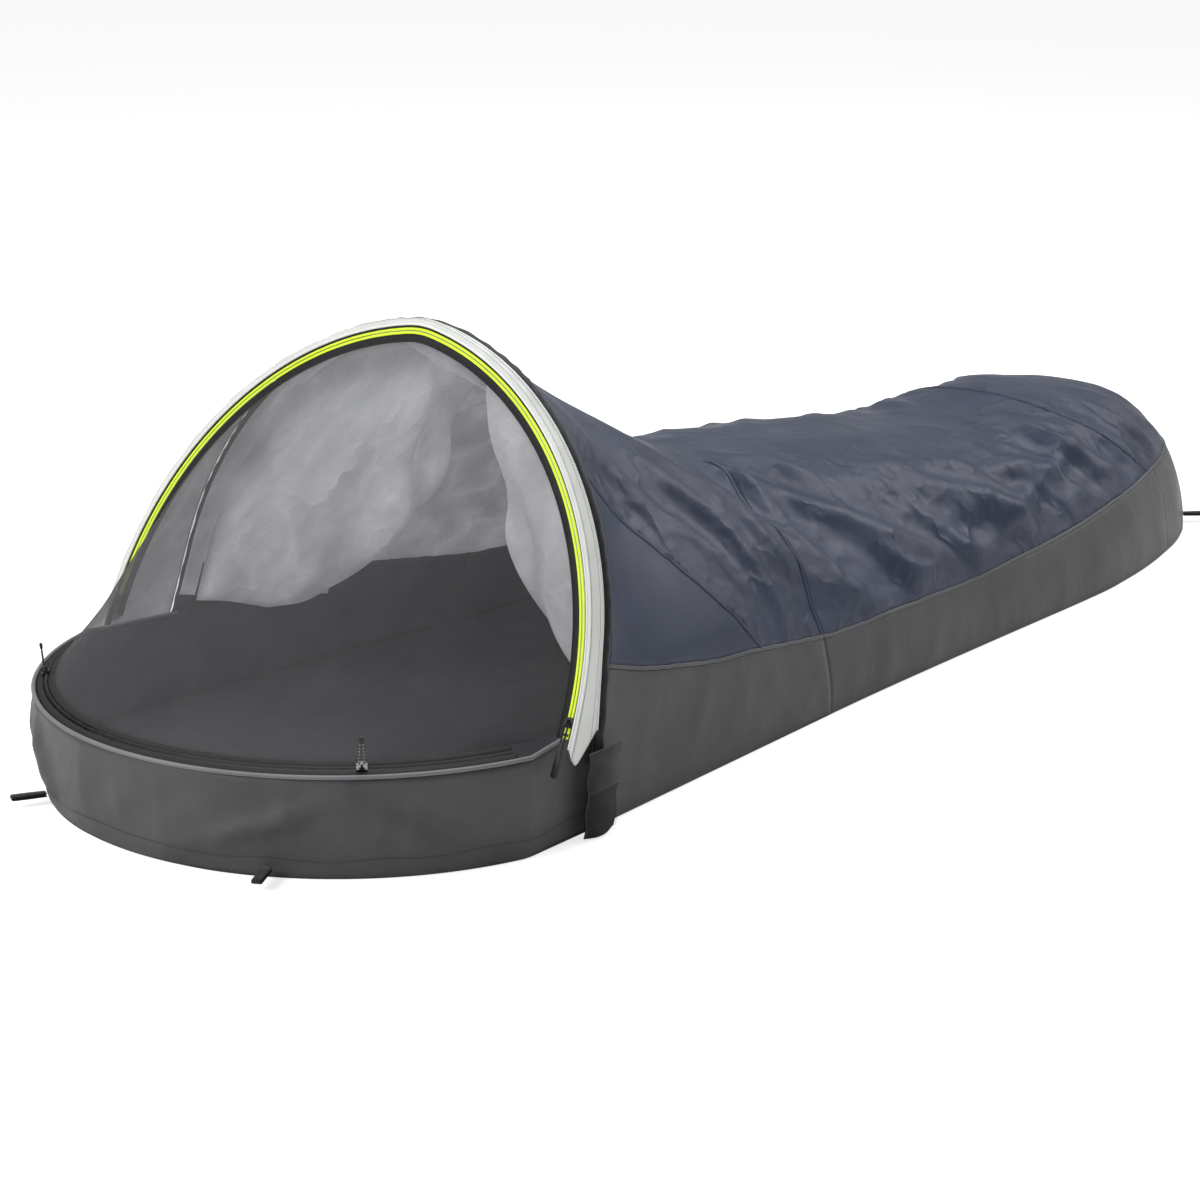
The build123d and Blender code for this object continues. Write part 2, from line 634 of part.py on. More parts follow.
# The rim sliders stand half way round each side of the head. Their stiff cords stand up, clear of the mesh.
rim_radial = Vector(*polar(1, RIM_SLIDER_ANGLE))
rim_travel = Vector(*polar(1, RIM_SLIDER_ANGLE + 90))
rim_up = Vector(0, 0, 1)
slope = radians(RIM_TAPE_SLOPE)
rim_across = rim_radial * -cos(slope) + rim_up * sin(slope)
rim_centre = rim_radial * RIM_COIL[0] + rim_up * RIM_COIL[1]
rim_slider_plane = Plane(origin=rim_centre, x_dir=rim_across, z_dir=rim_travel)
write_pair(slider_on(rim_slider_plane, rim_travel, rim_across), "rim_slider")
rim_bail = bail_point(rim_slider_plane)
CORD_LIFT = radians(95.0)  # from the inward direction
rim_cord_up = rim_radial * -cos(CORD_LIFT) + rim_up * sin(CORD_LIFT)
rim_pull_plane = Plane(origin=rim_bail, x_dir=rim_travel, z_dir=rim_travel.cross(-rim_cord_up))
write_pair(rim_pull(rim_pull_plane), "rim_pull")

# Small blocks crimped over the coil stop the hoop sliders.
STOP_SIZE = (6.4, 5.2)
STOP_LENGTH = 3.0
with BuildPart() as right_stop:
    stop_turn = radians(ZIP_STOP_ANGLE)
    stop_local = Vector(-ZIP_ARCH.offset + ZIP_ARCH.side * cos(stop_turn), ZIP_ARCH.side * sin(stop_turn), 0)
    stop_plane = Plane(
        origin=ZIP_PLANE.from_local_coords(stop_local), x_dir=ZIP_PLANE.x_dir, z_dir=ZIP_PLANE.y_dir
    )
    with BuildSketch(stop_plane.offset(-STOP_LENGTH / 2)):
        Rectangle(*STOP_SIZE)
        Circle(COIL_RADIUS + 0.05, mode=Mode.SUBTRACT)
    extrude(amount=STOP_LENGTH)
with BuildPart() as zip_stops:
    add(right_stop.part)
    mirror(about=Plane.YZ)
write(zip_stops, "zip_stops")


# ---------------------------------------------------------------- stake loops
LOOP_HEIGHT = 12.0
LOOP_DEPTH = 8.0
WEBBING_THICKNESS = 1.5


def stake_loop(anchor, outward):
    """Folded webbing loop sewn to the bottom of the wall, open for a stake to pass through."""
    side = Vector(0, 0, 1).cross(outward)
    plane = Plane(origin=anchor - side * (WEBBING_WIDTH / 2), x_dir=outward, z_dir=side)
    with BuildPart() as loop:
        with BuildSketch(plane):
            with Locations((STAKE_LOOP_LENGTH / 2, 0)):
                SlotOverall(STAKE_LOOP_LENGTH, LOOP_DEPTH)
                SlotOverall(STAKE_LOOP_LENGTH - 2 * WEBBING_THICKNESS, LOOP_DEPTH - 2 * WEBBING_THICKNESS,
                            mode=Mode.SUBTRACT)
        extrude(amount=WEBBING_WIDTH)
    return loop


HEAD_LOOP_STANDOFF = 5.0  # the loops' tops stand this far off the ground line of the head wall
FOOT_LOOP_AT = (180.0, 1647.0)
FOOT_LOOP_TURN = 44.0  # degrees from +X in which the right foot loop points

head_loop_out = Vector(*polar(1, STAKE_LOOP_ANGLE - 90))
head_loop_anchor = head_loop_out * (HEAD_RADIUS + HEAD_LOOP_STANDOFF) + Vector(0, 0, LOOP_HEIGHT)
write_pair(stake_loop(head_loop_anchor, head_loop_out), "stake_loop_head")
foot_loop_out = Vector(*polar(1, FOOT_LOOP_TURN))
foot_loop_anchor = Vector(*FOOT_LOOP_AT, LOOP_HEIGHT)
write_pair(stake_loop(foot_loop_anchor, foot_loop_out), "stake_loop_foot")
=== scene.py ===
import math

import bmesh
import bpy
import numpy as np
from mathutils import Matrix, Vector


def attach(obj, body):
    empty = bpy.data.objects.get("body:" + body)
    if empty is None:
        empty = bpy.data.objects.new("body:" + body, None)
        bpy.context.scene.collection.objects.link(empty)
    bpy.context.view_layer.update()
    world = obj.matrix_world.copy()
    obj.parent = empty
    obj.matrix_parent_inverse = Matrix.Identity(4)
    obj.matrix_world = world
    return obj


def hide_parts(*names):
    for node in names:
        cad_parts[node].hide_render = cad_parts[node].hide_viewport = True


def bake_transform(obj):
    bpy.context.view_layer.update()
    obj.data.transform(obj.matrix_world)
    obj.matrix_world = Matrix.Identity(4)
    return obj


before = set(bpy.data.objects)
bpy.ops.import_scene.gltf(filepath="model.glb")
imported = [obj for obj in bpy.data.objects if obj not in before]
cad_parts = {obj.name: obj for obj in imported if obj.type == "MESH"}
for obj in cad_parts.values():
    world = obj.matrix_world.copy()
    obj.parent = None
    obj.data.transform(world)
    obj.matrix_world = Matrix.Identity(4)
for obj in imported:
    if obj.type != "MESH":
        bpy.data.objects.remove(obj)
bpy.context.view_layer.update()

# Hooped bivy sack, in metres. The origin is on the ground midway between the pole's feet,
# +X is the near long side, the head end is at -Y, the foot at +Y and +Z is up.

# ---------------------------------------------------------------- dimensions shared with the CAD
HOOP_LEAN = math.radians(14.5)
ZIP_LEAN = math.radians(24)
PIVOT = np.array([0, 0, 0.0065])
ZIP_ORIGIN = np.array([0, -0.055, 0.130])
# side radius, centre offset, crown radius, height of the side centres, angle at which the side starts
POLE_ARCH = (0.368, 0.025, 0.150, 0.165, math.radians(7.6))
HOOD_ARCH = (0.370, 0.025, 0.150, 0.163, math.radians(3.8))
ZIP_ARCH = (0.425, 0.050, 0.120, 0.0, 0.0)
HEAD_RADIUS = 0.376
RIM_RADIUS = 0.385
RIM_HEIGHT = 0.118
HEAD_END = math.radians(16)
RIM_COIL = (0.3696, 0.1258)  # radius and height of the rim zip's coil
RIM_SLOPE = math.radians(25)  # the rim zip's tapes rise inwards at this angle
BAIL_HEIGHT = 0.006  # a slider's bail above its coil
TAPE_GAP = 0.0036
TAPE_WIDTH = 0.009
TAPE_EDGE = TAPE_GAP + TAPE_WIDTH
HOOD_END = 0.52
SECTION_POWER = 2.15  # exponent of the superellipse that the body's sections follow
WALL_START = 0.3567  # half width of the tub just behind the pole's feet
GROUND_GAP = 0.0006  # the walls' lower edge above the ground
TUB_THICKNESS, SHELL_THICKNESS = 0.0016, 0.0012
HOOP_NORMAL = np.array([0, -math.cos(HOOP_LEAN), math.sin(HOOP_LEAN)])
ZIP_NORMAL = np.array([0, -math.cos(ZIP_LEAN), math.sin(ZIP_LEAN)])
UP = np.array([0, 0, 1.0])
SIDES = (("right", 1), ("left", -1))

# ---------------------------------------------------------------- shape of the pitched cloth
# station: height of the crown, half width on the ground, height of the seam between wall and shell
STATIONS = [0.52, 0.56, 0.655, 0.79, 0.95, 1.14, 1.24, 1.35, 1.42, 1.53, 1.62, 1.66, 1.68]
CROWNS = [0.303, 0.288, 0.278, 0.266, 0.252, 0.229, 0.224, 0.238, 0.240, 0.226, 0.204, 0.186, 0.158]
HALF_WIDTHS = [0.322, 0.319, 0.314, 0.309, 0.304, 0.299, 0.295, 0.280, 0.266, 0.237, 0.200, 0.165, 0.125]
SEAM_AT = [-0.06, 0.08, 0.24, 0.36, 0.55, 0.89, 1.15, 1.43, 1.72]
SEAM_HEIGHTS = [0.200, 0.162, 0.132, 0.120, 0.096, 0.090, 0.100, 0.122, 0.136]
GUSSET_TOP = np.array([0, 0.110, 0.430])
GUSSET_LOW = np.array([0, 0.390, 0.110])
CAP_RIDGE = np.array([0, 1.340, 0.230])
CAP_SIDE = np.array([0, 1.480, 0.100])
HOOD_SAG = 0.055  # how far the hood's taut sides curve inwards behind the hoop
RIDGE_SAG = 0.008
HOOD_SETBACK = 0.009  # the hood starts this far behind the plane of the pole
END_BULGE = 0.014  # how far the closed foot end swells out

DENSE = 500  # points of a section before it is split at the seam
WALL_COLUMNS = 12
SHELL_COLUMNS = 104
HOOD_ROWS = 62
BODY_ROWS = 140
END_ROWS = 7


# ---------------------------------------------------------------- curves
def resample(points, count):
    """The same curve as count points evenly spaced along it."""
    points = np.asarray(points, float)
    steps = np.linalg.norm(np.diff(points, axis=0), axis=1)
    along = np.concatenate([[0], np.cumsum(steps)])
    at = np.linspace(0, along[-1], count)
    return np.stack([np.interp(at, along, points[:, k]) for k in range(points.shape[1])], -1)


def arc(centre, radius, start, end, count=90):
    turn = np.linspace(start, end, count)
    return np.stack([centre[0] + radius * np.cos(turn), centre[1] + radius * np.sin(turn)], -1)


def arch(shape, count, grow=0.0, foot=None):
    """Pointed arch from right to left. With foot, straight legs run down to that height."""
    side, offset, crown, height, first = shape
    top = math.pi / 2 - math.asin(offset / (side - crown))
    crown_height = height + (side - crown) * math.sin(top)
    right = arc((-offset, height), side + grow, first, top)
    peak = arc((0, crown_height), crown + grow, top, math.pi - top)
    half = list(right) + list(peak[1:-1])
    if foot is not None:
        x, y = right[0]
        half.insert(0, np.array([x + (y - foot) * math.tan(first), foot]))
    left = [np.array([-x, y]) for x, y in reversed(half[: len(half) - len(peak[1:-1])])]
    return resample(half + left, count)


def on_plane(points, lean, origin, forward=0.0):
    """Points of a plane that holds X and leans back, moved forward along its normal."""
    points = np.asarray(points, float)
    up = np.array([0, math.sin(lean), math.cos(lean)])
    normal = np.array([0, -math.cos(lean), math.sin(lean)])
    return np.outer(points[:, 0], [1, 0, 0]) + np.outer(points[:, 1], up) + origin + normal * forward


def pole_line(count, grow=0.0, forward=0.0):
    return on_plane(arch(POLE_ARCH, count, grow=grow, foot=0.0), HOOP_LEAN, PIVOT, forward)


def zip_line(count, grow=0.0):
    return on_plane(arch(ZIP_ARCH, count, grow=grow), ZIP_LEAN, ZIP_ORIGIN)


def around_head(radius, height, count, trim=0.0):
    """Level arc round the head end, from the right side to the left."""
    turn = np.linspace(-HEAD_END - trim, -math.pi + HEAD_END + trim, count)
    return np.stack([radius * np.cos(turn), radius * np.sin(turn), np.full(count, height)], -1)


def eased(at, stations, values, width=0.03):
    """Interpolated values with their corners rounded over this width."""
    offsets = np.linspace(-1.5, 1.5, 9) * width
    weights = np.exp(-((offsets / width) ** 2))
    total = sum(w * np.interp(at + d, stations, values) for w, d in zip(weights, offsets))
    return total / weights.sum()


def split_at_seam(curve, seam):
    """Resamples a section: wall columns up to the seam height on each side, shell columns between them."""
    z = curve[:, 2]
    top = int(np.argmax(z))
    seam = min(seam, z[top] * 0.985)
    right = int(np.argmax(z[: top + 1] >= seam))
    left = len(z) - 1 - int(np.argmax(z[::-1][: len(z) - top] >= seam))
    parts = [
        resample(curve[: right + 1], WALL_COLUMNS + 1),
        resample(curve[right : left + 1], SHELL_COLUMNS + 1)[1:],
        resample(curve[left:], WALL_COLUMNS + 1)[1:],
    ]
    return np.concatenate(parts)


# ---------------------------------------------------------------- the sack's skin behind the hoop
def body_section(station):
    """Dense superellipse section of the body, from its right foot to its left foot."""
    half = eased(station, STATIONS, HALF_WIDTHS)
    crown = eased(station, STATIONS, CROWNS)
    angle = np.linspace(0, math.pi, DENSE)
    across = np.sign(np.cos(angle)) * np.abs(np.cos(angle)) ** (2 / SECTION_POWER)
    up = np.sin(angle) ** (2 / SECTION_POWER)
    z = GROUND_GAP + (crown - GROUND_GAP) * up
    return np.stack([half * across, np.full(DENSE, station), z], -1)


def skin_rows():
    """Rows of points from the hoop to the closed foot end."""
    base_height = (GROUND_GAP - PIVOT[2] + HOOD_SETBACK * math.sin(HOOP_LEAN)) / math.cos(HOOP_LEAN)
    front = on_plane(arch(HOOD_ARCH, DENSE, foot=base_height), HOOP_LEAN, PIVOT, -HOOD_SETBACK)
    back = body_section(HOOD_END)
    rows = []
    for step in range(HOOD_ROWS):
        u = step / HOOD_ROWS
        curve = front * (1 - u) + back * u
        bow = 27 / 4 * u * (1 - u) ** 2  # grows from 0 to 1 and falls back to 0
        height = np.clip((curve[:, 2] - 0.16) / 0.14, 0, 1)
        side = np.clip(np.abs(curve[:, 0]) / 0.24, 0, 1) ** 1.5
        curve[:, 0] -= np.sign(curve[:, 0]) * HOOD_SAG * bow * height * side
        curve[:, 2] -= RIDGE_SAG * np.sin(math.pi * u) * height
        rows.append(split_at_seam(curve, float(eased(curve[0, 1], SEAM_AT, SEAM_HEIGHTS))))
    last = STATIONS[-1]
    for step in range(BODY_ROWS + 1):
        station = HOOD_END + (last - HOOD_END) * step / BODY_ROWS
        rows.append(split_at_seam(body_section(station), float(eased(station, SEAM_AT, SEAM_HEIGHTS))))
    end = rows[-1].copy()
    centre = np.array([0, last, end[0, 2]])
    for step in range(1, END_ROWS + 1):
        share = step / END_ROWS
        ring = centre + (end - centre) * math.sqrt(max(0.0, 1 - share**2) + 0.0004)
        ring[:, 1] = last + END_BULGE * math.sin(share * math.pi / 2)
        rows.append(ring)
    return np.array(rows)


def fold_heights(points, across, count, size, lean, spread, seed):
    """Height field of long soft folds with crisp crests, leaning across the cloth by about this angle."""
    random = np.random.default_rng(seed)
    total = np.zeros(len(points))
    for _ in range(count):
        direction = lean + random.normal(0, 1) * spread
        wave = random.uniform(0.7, 1.6) * size
        phase = random.uniform(0, 2 * math.pi, 4)
        a = across * math.cos(direction) - points[:, 1] * math.sin(direction)
        b = across * math.sin(direction) + points[:, 1] * math.cos(direction)
        bend = 0.35 * np.sin(b / (wave * 2.7) + phase[1]) + 0.3 * np.sin(a / (wave * 3.1) + phase[2])
        ridge = 1 - np.abs(np.sin(a / wave + phase[0] + bend * 2))
        patch = np.clip(np.sin(b / (wave * 1.9) + phase[3]) * 0.6 + 0.5, 0, 1)
        total += ridge**2 * patch
    return total / count


# ---------------------------------------------------------------- meshes
def grid_faces(rows, columns):
    index = np.arange(rows * columns).reshape(rows, columns)
    return np.stack([index[:-1, :-1], index[1:, :-1], index[1:, 1:], index[:-1, 1:]], -1).reshape(-1, 4)


def new_object(name, vertices, faces, uvs=None, tags=None):
    mesh = bpy.data.meshes.new(name)
    mesh.from_pydata([tuple(v) for v in vertices], [], [tuple(f) for f in faces])
    if uvs is not None:
        layer = mesh.uv_layers.new(name="cloth")
        loops = np.zeros(len(mesh.loops), np.int32)
        mesh.loops.foreach_get("vertex_index", loops)
        layer.data.foreach_set("uv", np.asarray(uvs, np.float32)[loops].ravel())
    if tags is not None:
        mesh.attributes.new("panel", "INT", "FACE").data.foreach_set("value", np.asarray(tags, np.int32))
    mesh.update()
    obj = bpy.data.objects.new(name, mesh)
    bpy.context.scene.collection.objects.link(obj)
    return obj


def coordinates(mesh):
    flat = np.zeros(len(mesh.vertices) * 3, np.float32)
    mesh.vertices.foreach_get("co", flat)
    return flat.reshape(-1, 3).astype(float)


def grid_uvs(grid):
    """Distances along and across the cloth, in metres, for each point of a grid of rows."""
    along = np.concatenate([[0], np.cumsum(np.linalg.norm(np.diff(grid, axis=0), axis=2).mean(1))])
    across = np.concatenate([[0], np.cumsum(np.linalg.norm(np.diff(grid, axis=1), axis=2).mean(0))])
    u, v = np.meshgrid(across - across[-1] / 2, along)
    return np.stack([u, v], -1).reshape(-1, 2)


CLOTH_SETTINGS = {
    "quality": 5,
    "mass": 0.15,
    "tension_stiffness": 12,
    "compression_stiffness": 12,
    "shear_stiffness": 4,
    "bending_stiffness": 0.4,
    "air_damping": 3,
    "vertex_group_mass": "hold",
    "pin_stiffness": 1.0,
    "vertex_group_shrink": "spare",
    "shrink_min": 0.0,
    "use_pressure": True,
    "uniform_pressure_force": 0.3,
}
CLOTH_FRAMES = 26
CLOTH_REACH = 0.022  # the simulation moves no point further than this


def group_by_value(obj, name, values):
    group = obj.vertex_groups.new(name=name)
    for value in np.unique(values):
        group.add(np.nonzero(values == value)[0].tolist(), float(value), "REPLACE")


def simulate(obj, pins, excess):
    """Lets the cloth settle between its held points, then keeps the settled shape.

    pins holds each point near its place, 1 being fixed. excess is how much longer than its place
    the cloth is."""
    rest = coordinates(obj.data)
    group_by_value(obj, "hold", np.round(pins, 3))
    group_by_value(obj, "spare", np.round(excess / excess.max(), 2))
    modifier = obj.modifiers.new("cloth", "CLOTH")
    for key, value in CLOTH_SETTINGS.items():
        setattr(modifier.settings, key, value)
    modifier.settings.shrink_max = -float(excess.max())
    modifier.settings.effector_weights.gravity = 0
    modifier.point_cache.frame_start = 1
    modifier.point_cache.frame_end = CLOTH_FRAMES
    scene = bpy.context.scene
    for number in range(1, CLOTH_FRAMES + 1):
        scene.frame_set(number)
    settled = coordinates(obj.evaluated_get(bpy.context.evaluated_depsgraph_get()).data)
    scene.frame_set(1)
    obj.modifiers.remove(modifier)
    obj.vertex_groups.clear()
    moved = settled - rest
    length = np.linalg.norm(moved, axis=1, keepdims=True)
    settled = rest + moved * np.minimum(1, CLOTH_REACH / np.maximum(length, 1e-9))
    settled = relaxed(obj.data, settled, pins, 3)
    obj.data.vertices.foreach_set("co", settled.astype(np.float32).ravel())
    obj.data.update()


def relaxed(mesh, points, pins, times):
    """Evens out sharp points by moving each one towards the middle of its neighbours."""
    edges = np.zeros(len(mesh.edges) * 2, np.int32)
    mesh.edges.foreach_get("vertices", edges)
    a, b = edges.reshape(-1, 2).T
    count = np.bincount(np.concatenate([a, b]), minlength=len(points))[:, None]
    free = 0.5 * (1 - np.clip(pins, 0, 1))[:, None]
    for _ in range(times):
        total = np.zeros_like(points)
        np.add.at(total, a, points[b])
        np.add.at(total, b, points[a])
        points = points + (total / np.maximum(count, 1) - points) * free
    return points


def vertex_normals(mesh):
    flat = np.zeros(len(mesh.vertices) * 3, np.float32)
    mesh.vertices.foreach_get("normal", flat)
    return flat.reshape(-1, 3).astype(float)


def two_layer(name, points, normals, faces, uvs, thickness, materials):
    """Cloth with an outer and an inner face and a closed edge. materials are the outer and the inner one."""
    used = sorted({v for face in faces for v in face})
    place = {v: i for i, v in enumerate(used)}
    count = len(used)
    outer = points[used]
    inner = outer - normals[used] * thickness
    local = [[place[v] for v in face] for face in faces]
    edges = {}
    for face in local:
        for a, b in zip(face, face[1:] + face[:1]):
            edges[(a, b)] = edges.get((a, b), 0) + 1
    rim = [(a, b) for a, b in edges if (b, a) not in edges]
    all_faces = local + [[v + count for v in reversed(face)] for face in local]
    all_faces += [[b, a, a + count, b + count] for a, b in rim]
    obj = new_object(name, np.concatenate([outer, inner]), all_faces, np.tile(np.asarray(uvs)[used], (2, 1)))
    for material in materials:
        obj.data.materials.append(material)
    obj.data.polygons.foreach_set("material_index", [0] * len(local) + [1] * len(local) + [0] * len(rim))
    return smooth(obj)


def smooth(obj):
    obj.data.polygons.foreach_set("use_smooth", [True] * len(obj.data.polygons))
    obj.data.update()
    return obj


def grid_normals(points, faces):
    bare = new_object("bare", points, faces)
    normals = vertex_normals(bare.data)
    bpy.data.objects.remove(bare)
    return normals


def sheet(name, grid, thickness, materials, flip=False):
    """Two-layer cloth from a grid of points."""
    faces = grid_faces(*grid.shape[:2])
    if flip:
        faces = faces[:, ::-1]
    points = grid.reshape(-1, 3)
    normals = grid_normals(points, faces)
    return two_layer(name, points, normals, faces.tolist(), grid_uvs(grid), thickness, materials)


def merged(name, parts, material):
    """One object from several (points, faces) lists."""
    points, faces, start = [], [], 0
    for some_points, some_faces in parts:
        points.append(np.asarray(some_points))
        faces += [[v + start for v in face] for face in some_faces]
        start += len(some_points)
    points = np.concatenate(points)
    obj = new_object(name, points, faces, points[:, :2])
    obj.data.materials.append(material)
    return smooth(obj)


def unit(vectors):
    return vectors / np.maximum(np.linalg.norm(vectors, axis=-1, keepdims=True), 1e-12)


def radial(path):
    return unit(path * [1, 1, 0])


def length_of(path):
    return np.linalg.norm(np.diff(path, axis=0), axis=1).sum()


def trimmed(path, trim):
    """A path without this length at either end, and how far along the whole each of its points is."""
    total = length_of(path)
    along = np.linspace(0, total, len(path))
    kept = (along > trim) & (along < total - trim)
    return path[kept], along[kept]


def swept(path, across, up, profile):
    """Sweeps a closed 2-D profile along a path; across and up are each point's profile directions."""
    path = np.asarray(path, float)
    count = len(path)
    profile = np.asarray(profile, float)
    if profile.ndim == 2:
        profile = np.repeat(profile[None], count, 0)
    sides = profile.shape[1]
    rings = path[:, None] + profile[..., :1] * across[:, None] + profile[..., 1:] * up[:, None]
    faces = []
    for i in range(count - 1):
        for k in range(sides):
            m = (k + 1) % sides
            faces.append([i * sides + k, (i + 1) * sides + k, (i + 1) * sides + m, i * sides + m])
    faces.append(list(range(sides)))
    faces.append([(count - 1) * sides + k for k in reversed(range(sides))])
    return rings.reshape(-1, 3), faces


def frames_along(path, hint):
    """Directions across and up at each point of a path, the up direction staying close to the hint."""
    tangent = unit(np.gradient(path, axis=0))
    hint = np.broadcast_to(np.asarray(hint, float), path.shape)
    up = unit(hint - tangent * (hint * tangent).sum(1, keepdims=True))
    return np.cross(tangent, up), up


def ring_profile(radius, sides):
    turn = np.linspace(0, 2 * math.pi, sides, endpoint=False)
    return np.stack([radius * np.cos(turn), radius * np.sin(turn)], -1)


def tube(path, radius, hint, sides=8):
    across, up = frames_along(path, hint)
    return swept(path, across, up, ring_profile(radius, sides))


def ribbon(path, up, width, thickness):
    """Flat tape with rounded edges whose face points along up."""
    across, up = frames_along(path, up)
    w, t = width / 2, thickness / 2
    profile = [(-w, 0), (-w + t, -t), (w - t, -t), (w, 0), (w - t, t), (-w + t, t)]
    return swept(path, across, up, profile)


def resample_with_up(path, up, count):
    """A path and its up directions, as count evenly spaced points."""
    both = np.concatenate([path, np.broadcast_to(np.asarray(up, float), path.shape) * 1e-6], 1)
    both = resample(both, count)
    return both[:, :3], unit(both[:, 3:])


def stitch_row(path, up, pitch=0.0036, length=0.0026, radius=0.00038, lift=0.0003):
    """Row of short raised stitches along a path."""
    count = max(2, int(length_of(path) / pitch))
    points, ups = resample_with_up(path, up, count * 4 + 1)
    tangent = unit(np.gradient(points, axis=0))
    middle = points[2::4][:count]
    along, over = tangent[2::4][:count], ups[2::4][:count]
    side = np.cross(along, over)
    corners, faces = [], []
    for share, size, rise in ((-0.5, 0.4, 0.2), (0.0, 1.0, 1.0), (0.5, 0.4, 0.2)):
        for a, b in ((1, 0), (0, 1), (-1, 0), (0, -1)):
            offset = along * (share * length) + side * (a * size * radius)
            corners.append(middle + offset + over * (b * size * radius + lift * rise))
    points = np.stack(corners, 1).reshape(-1, 3)
    for i in range(len(middle)):
        base = i * 12
        for ring in (0, 4):
            for k in range(4):
                m = (k + 1) % 4
                faces.append([base + ring + k, base + ring + m, base + ring + 4 + m, base + ring + 4 + k])
    return points, faces


# ---------------------------------------------------------------- placing pieces on their bodies
HOOD_CLOTH = "hood cloth"
PATCH_CLOTH = "patch cloth"
# Cloth between the body and the hoop, each with the start and end of a stretch that nothing reads; its pieces
# hang on no body.
BLENDS = {
    HOOD_CLOTH: (PIVOT - HOOP_NORMAL * 0.428, PIVOT - HOOP_NORMAL * HOOD_SETBACK),
    PATCH_CLOTH: ((0, 0, 0.0), (0, 0, 0.1)),
}


def put(piece, body, node=None):
    """Hangs a finished piece on its body, in the place of the CAD node that it stands for, which it hides.
    Pieces of the hood and patch cloth are only baked in place and hang on no body.
    """
    if node is not None:
        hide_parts(node)
    if body in BLENDS:
        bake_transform(piece)
    else:
        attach(piece, body)


# ---------------------------------------------------------------- materials
class Shader:
    """Short way to lay out nodes of one material."""

    def __init__(self, name, roughness=0.5, specular=0.5):
        self.material = bpy.data.materials.new(name)
        self.material.use_nodes = True
        self.nodes = self.material.node_tree.nodes
        self.links = self.material.node_tree.links
        self.surface = self.nodes["Principled BSDF"]
        self.surface.inputs["Roughness"].default_value = roughness
        self.surface.inputs["Specular IOR Level"].default_value = specular
        self.bump = None

    def node(self, kind, **values):
        node = self.nodes.new(kind)
        for key, value in values.items():
            if key in node.inputs:
                node.inputs[key].default_value = value
            else:
                setattr(node, key, value)
        return node

    def join(self, source, target):
        self.links.new(source, target)

    def noise(self, scale, detail=4.0, roughness=0.55, stretch=None):
        where = self.node("ShaderNodeTexCoord").outputs["Object"]
        if stretch is not None:
            mapping = self.node("ShaderNodeMapping", Scale=stretch)
            self.join(where, mapping.inputs["Vector"])
            where = mapping.outputs["Vector"]
        texture = self.node("ShaderNodeTexNoise", Scale=scale, Detail=detail, Roughness=roughness)
        self.join(where, texture.inputs["Vector"])
        return texture.outputs["Fac"]

    def threads(self, pitch, along):
        """Rounded threads across the cloth's own coordinates, 0 to 1."""
        where = self.node("ShaderNodeTexCoord").outputs["UV"]
        wave = self.node("ShaderNodeTexWave", bands_direction=along, wave_profile="SIN", Scale=0.314 / pitch)
        self.join(where, wave.inputs["Vector"])
        return wave.outputs["Fac"]

    def math(self, operation, a, b=None, c=None):
        node = self.node("ShaderNodeMath", operation=operation)
        for index, value in enumerate((a, b, c)):
            if value is None:
                continue
            if isinstance(value, (int, float)):
                node.inputs[index].default_value = value
            else:
                self.join(value, node.inputs[index])
        return node.outputs[0]

    def ramp(self, factor, low, high, colours):
        node = self.node("ShaderNodeMapRange", interpolation_type="SMOOTHSTEP")
        node.inputs["From Min"].default_value = low
        node.inputs["From Max"].default_value = high
        self.join(factor, node.inputs["Value"])
        mix = self.node("ShaderNodeMix", data_type="RGBA")
        mix.inputs["A"].default_value = (*colours[0], 1)
        mix.inputs["B"].default_value = (*colours[1], 1)
        self.join(node.outputs["Result"], mix.inputs["Factor"])
        return mix.outputs["Result"]

    def raise_by(self, height, distance):
        bump = self.node("ShaderNodeBump", Strength=1.0, Distance=distance)
        self.join(height, bump.inputs["Height"])
        if self.bump is not None:
            self.join(self.bump, bump.inputs["Normal"])
        self.bump = bump.outputs["Normal"]
        self.join(self.bump, self.surface.inputs["Normal"])


def shade(colour, factor):
    return tuple(min(1.0, c * factor) for c in colour)


def mottled(shader, scale, colour, variation):
    """Colour that varies a little over the surface."""
    tones = shade(colour, 1 - variation), shade(colour, 1 + variation)
    tint = shader.ramp(shader.noise(scale, 6.0), 0.3, 0.7, tones)
    shader.join(tint, shader.surface.inputs["Base Color"])
    return tint


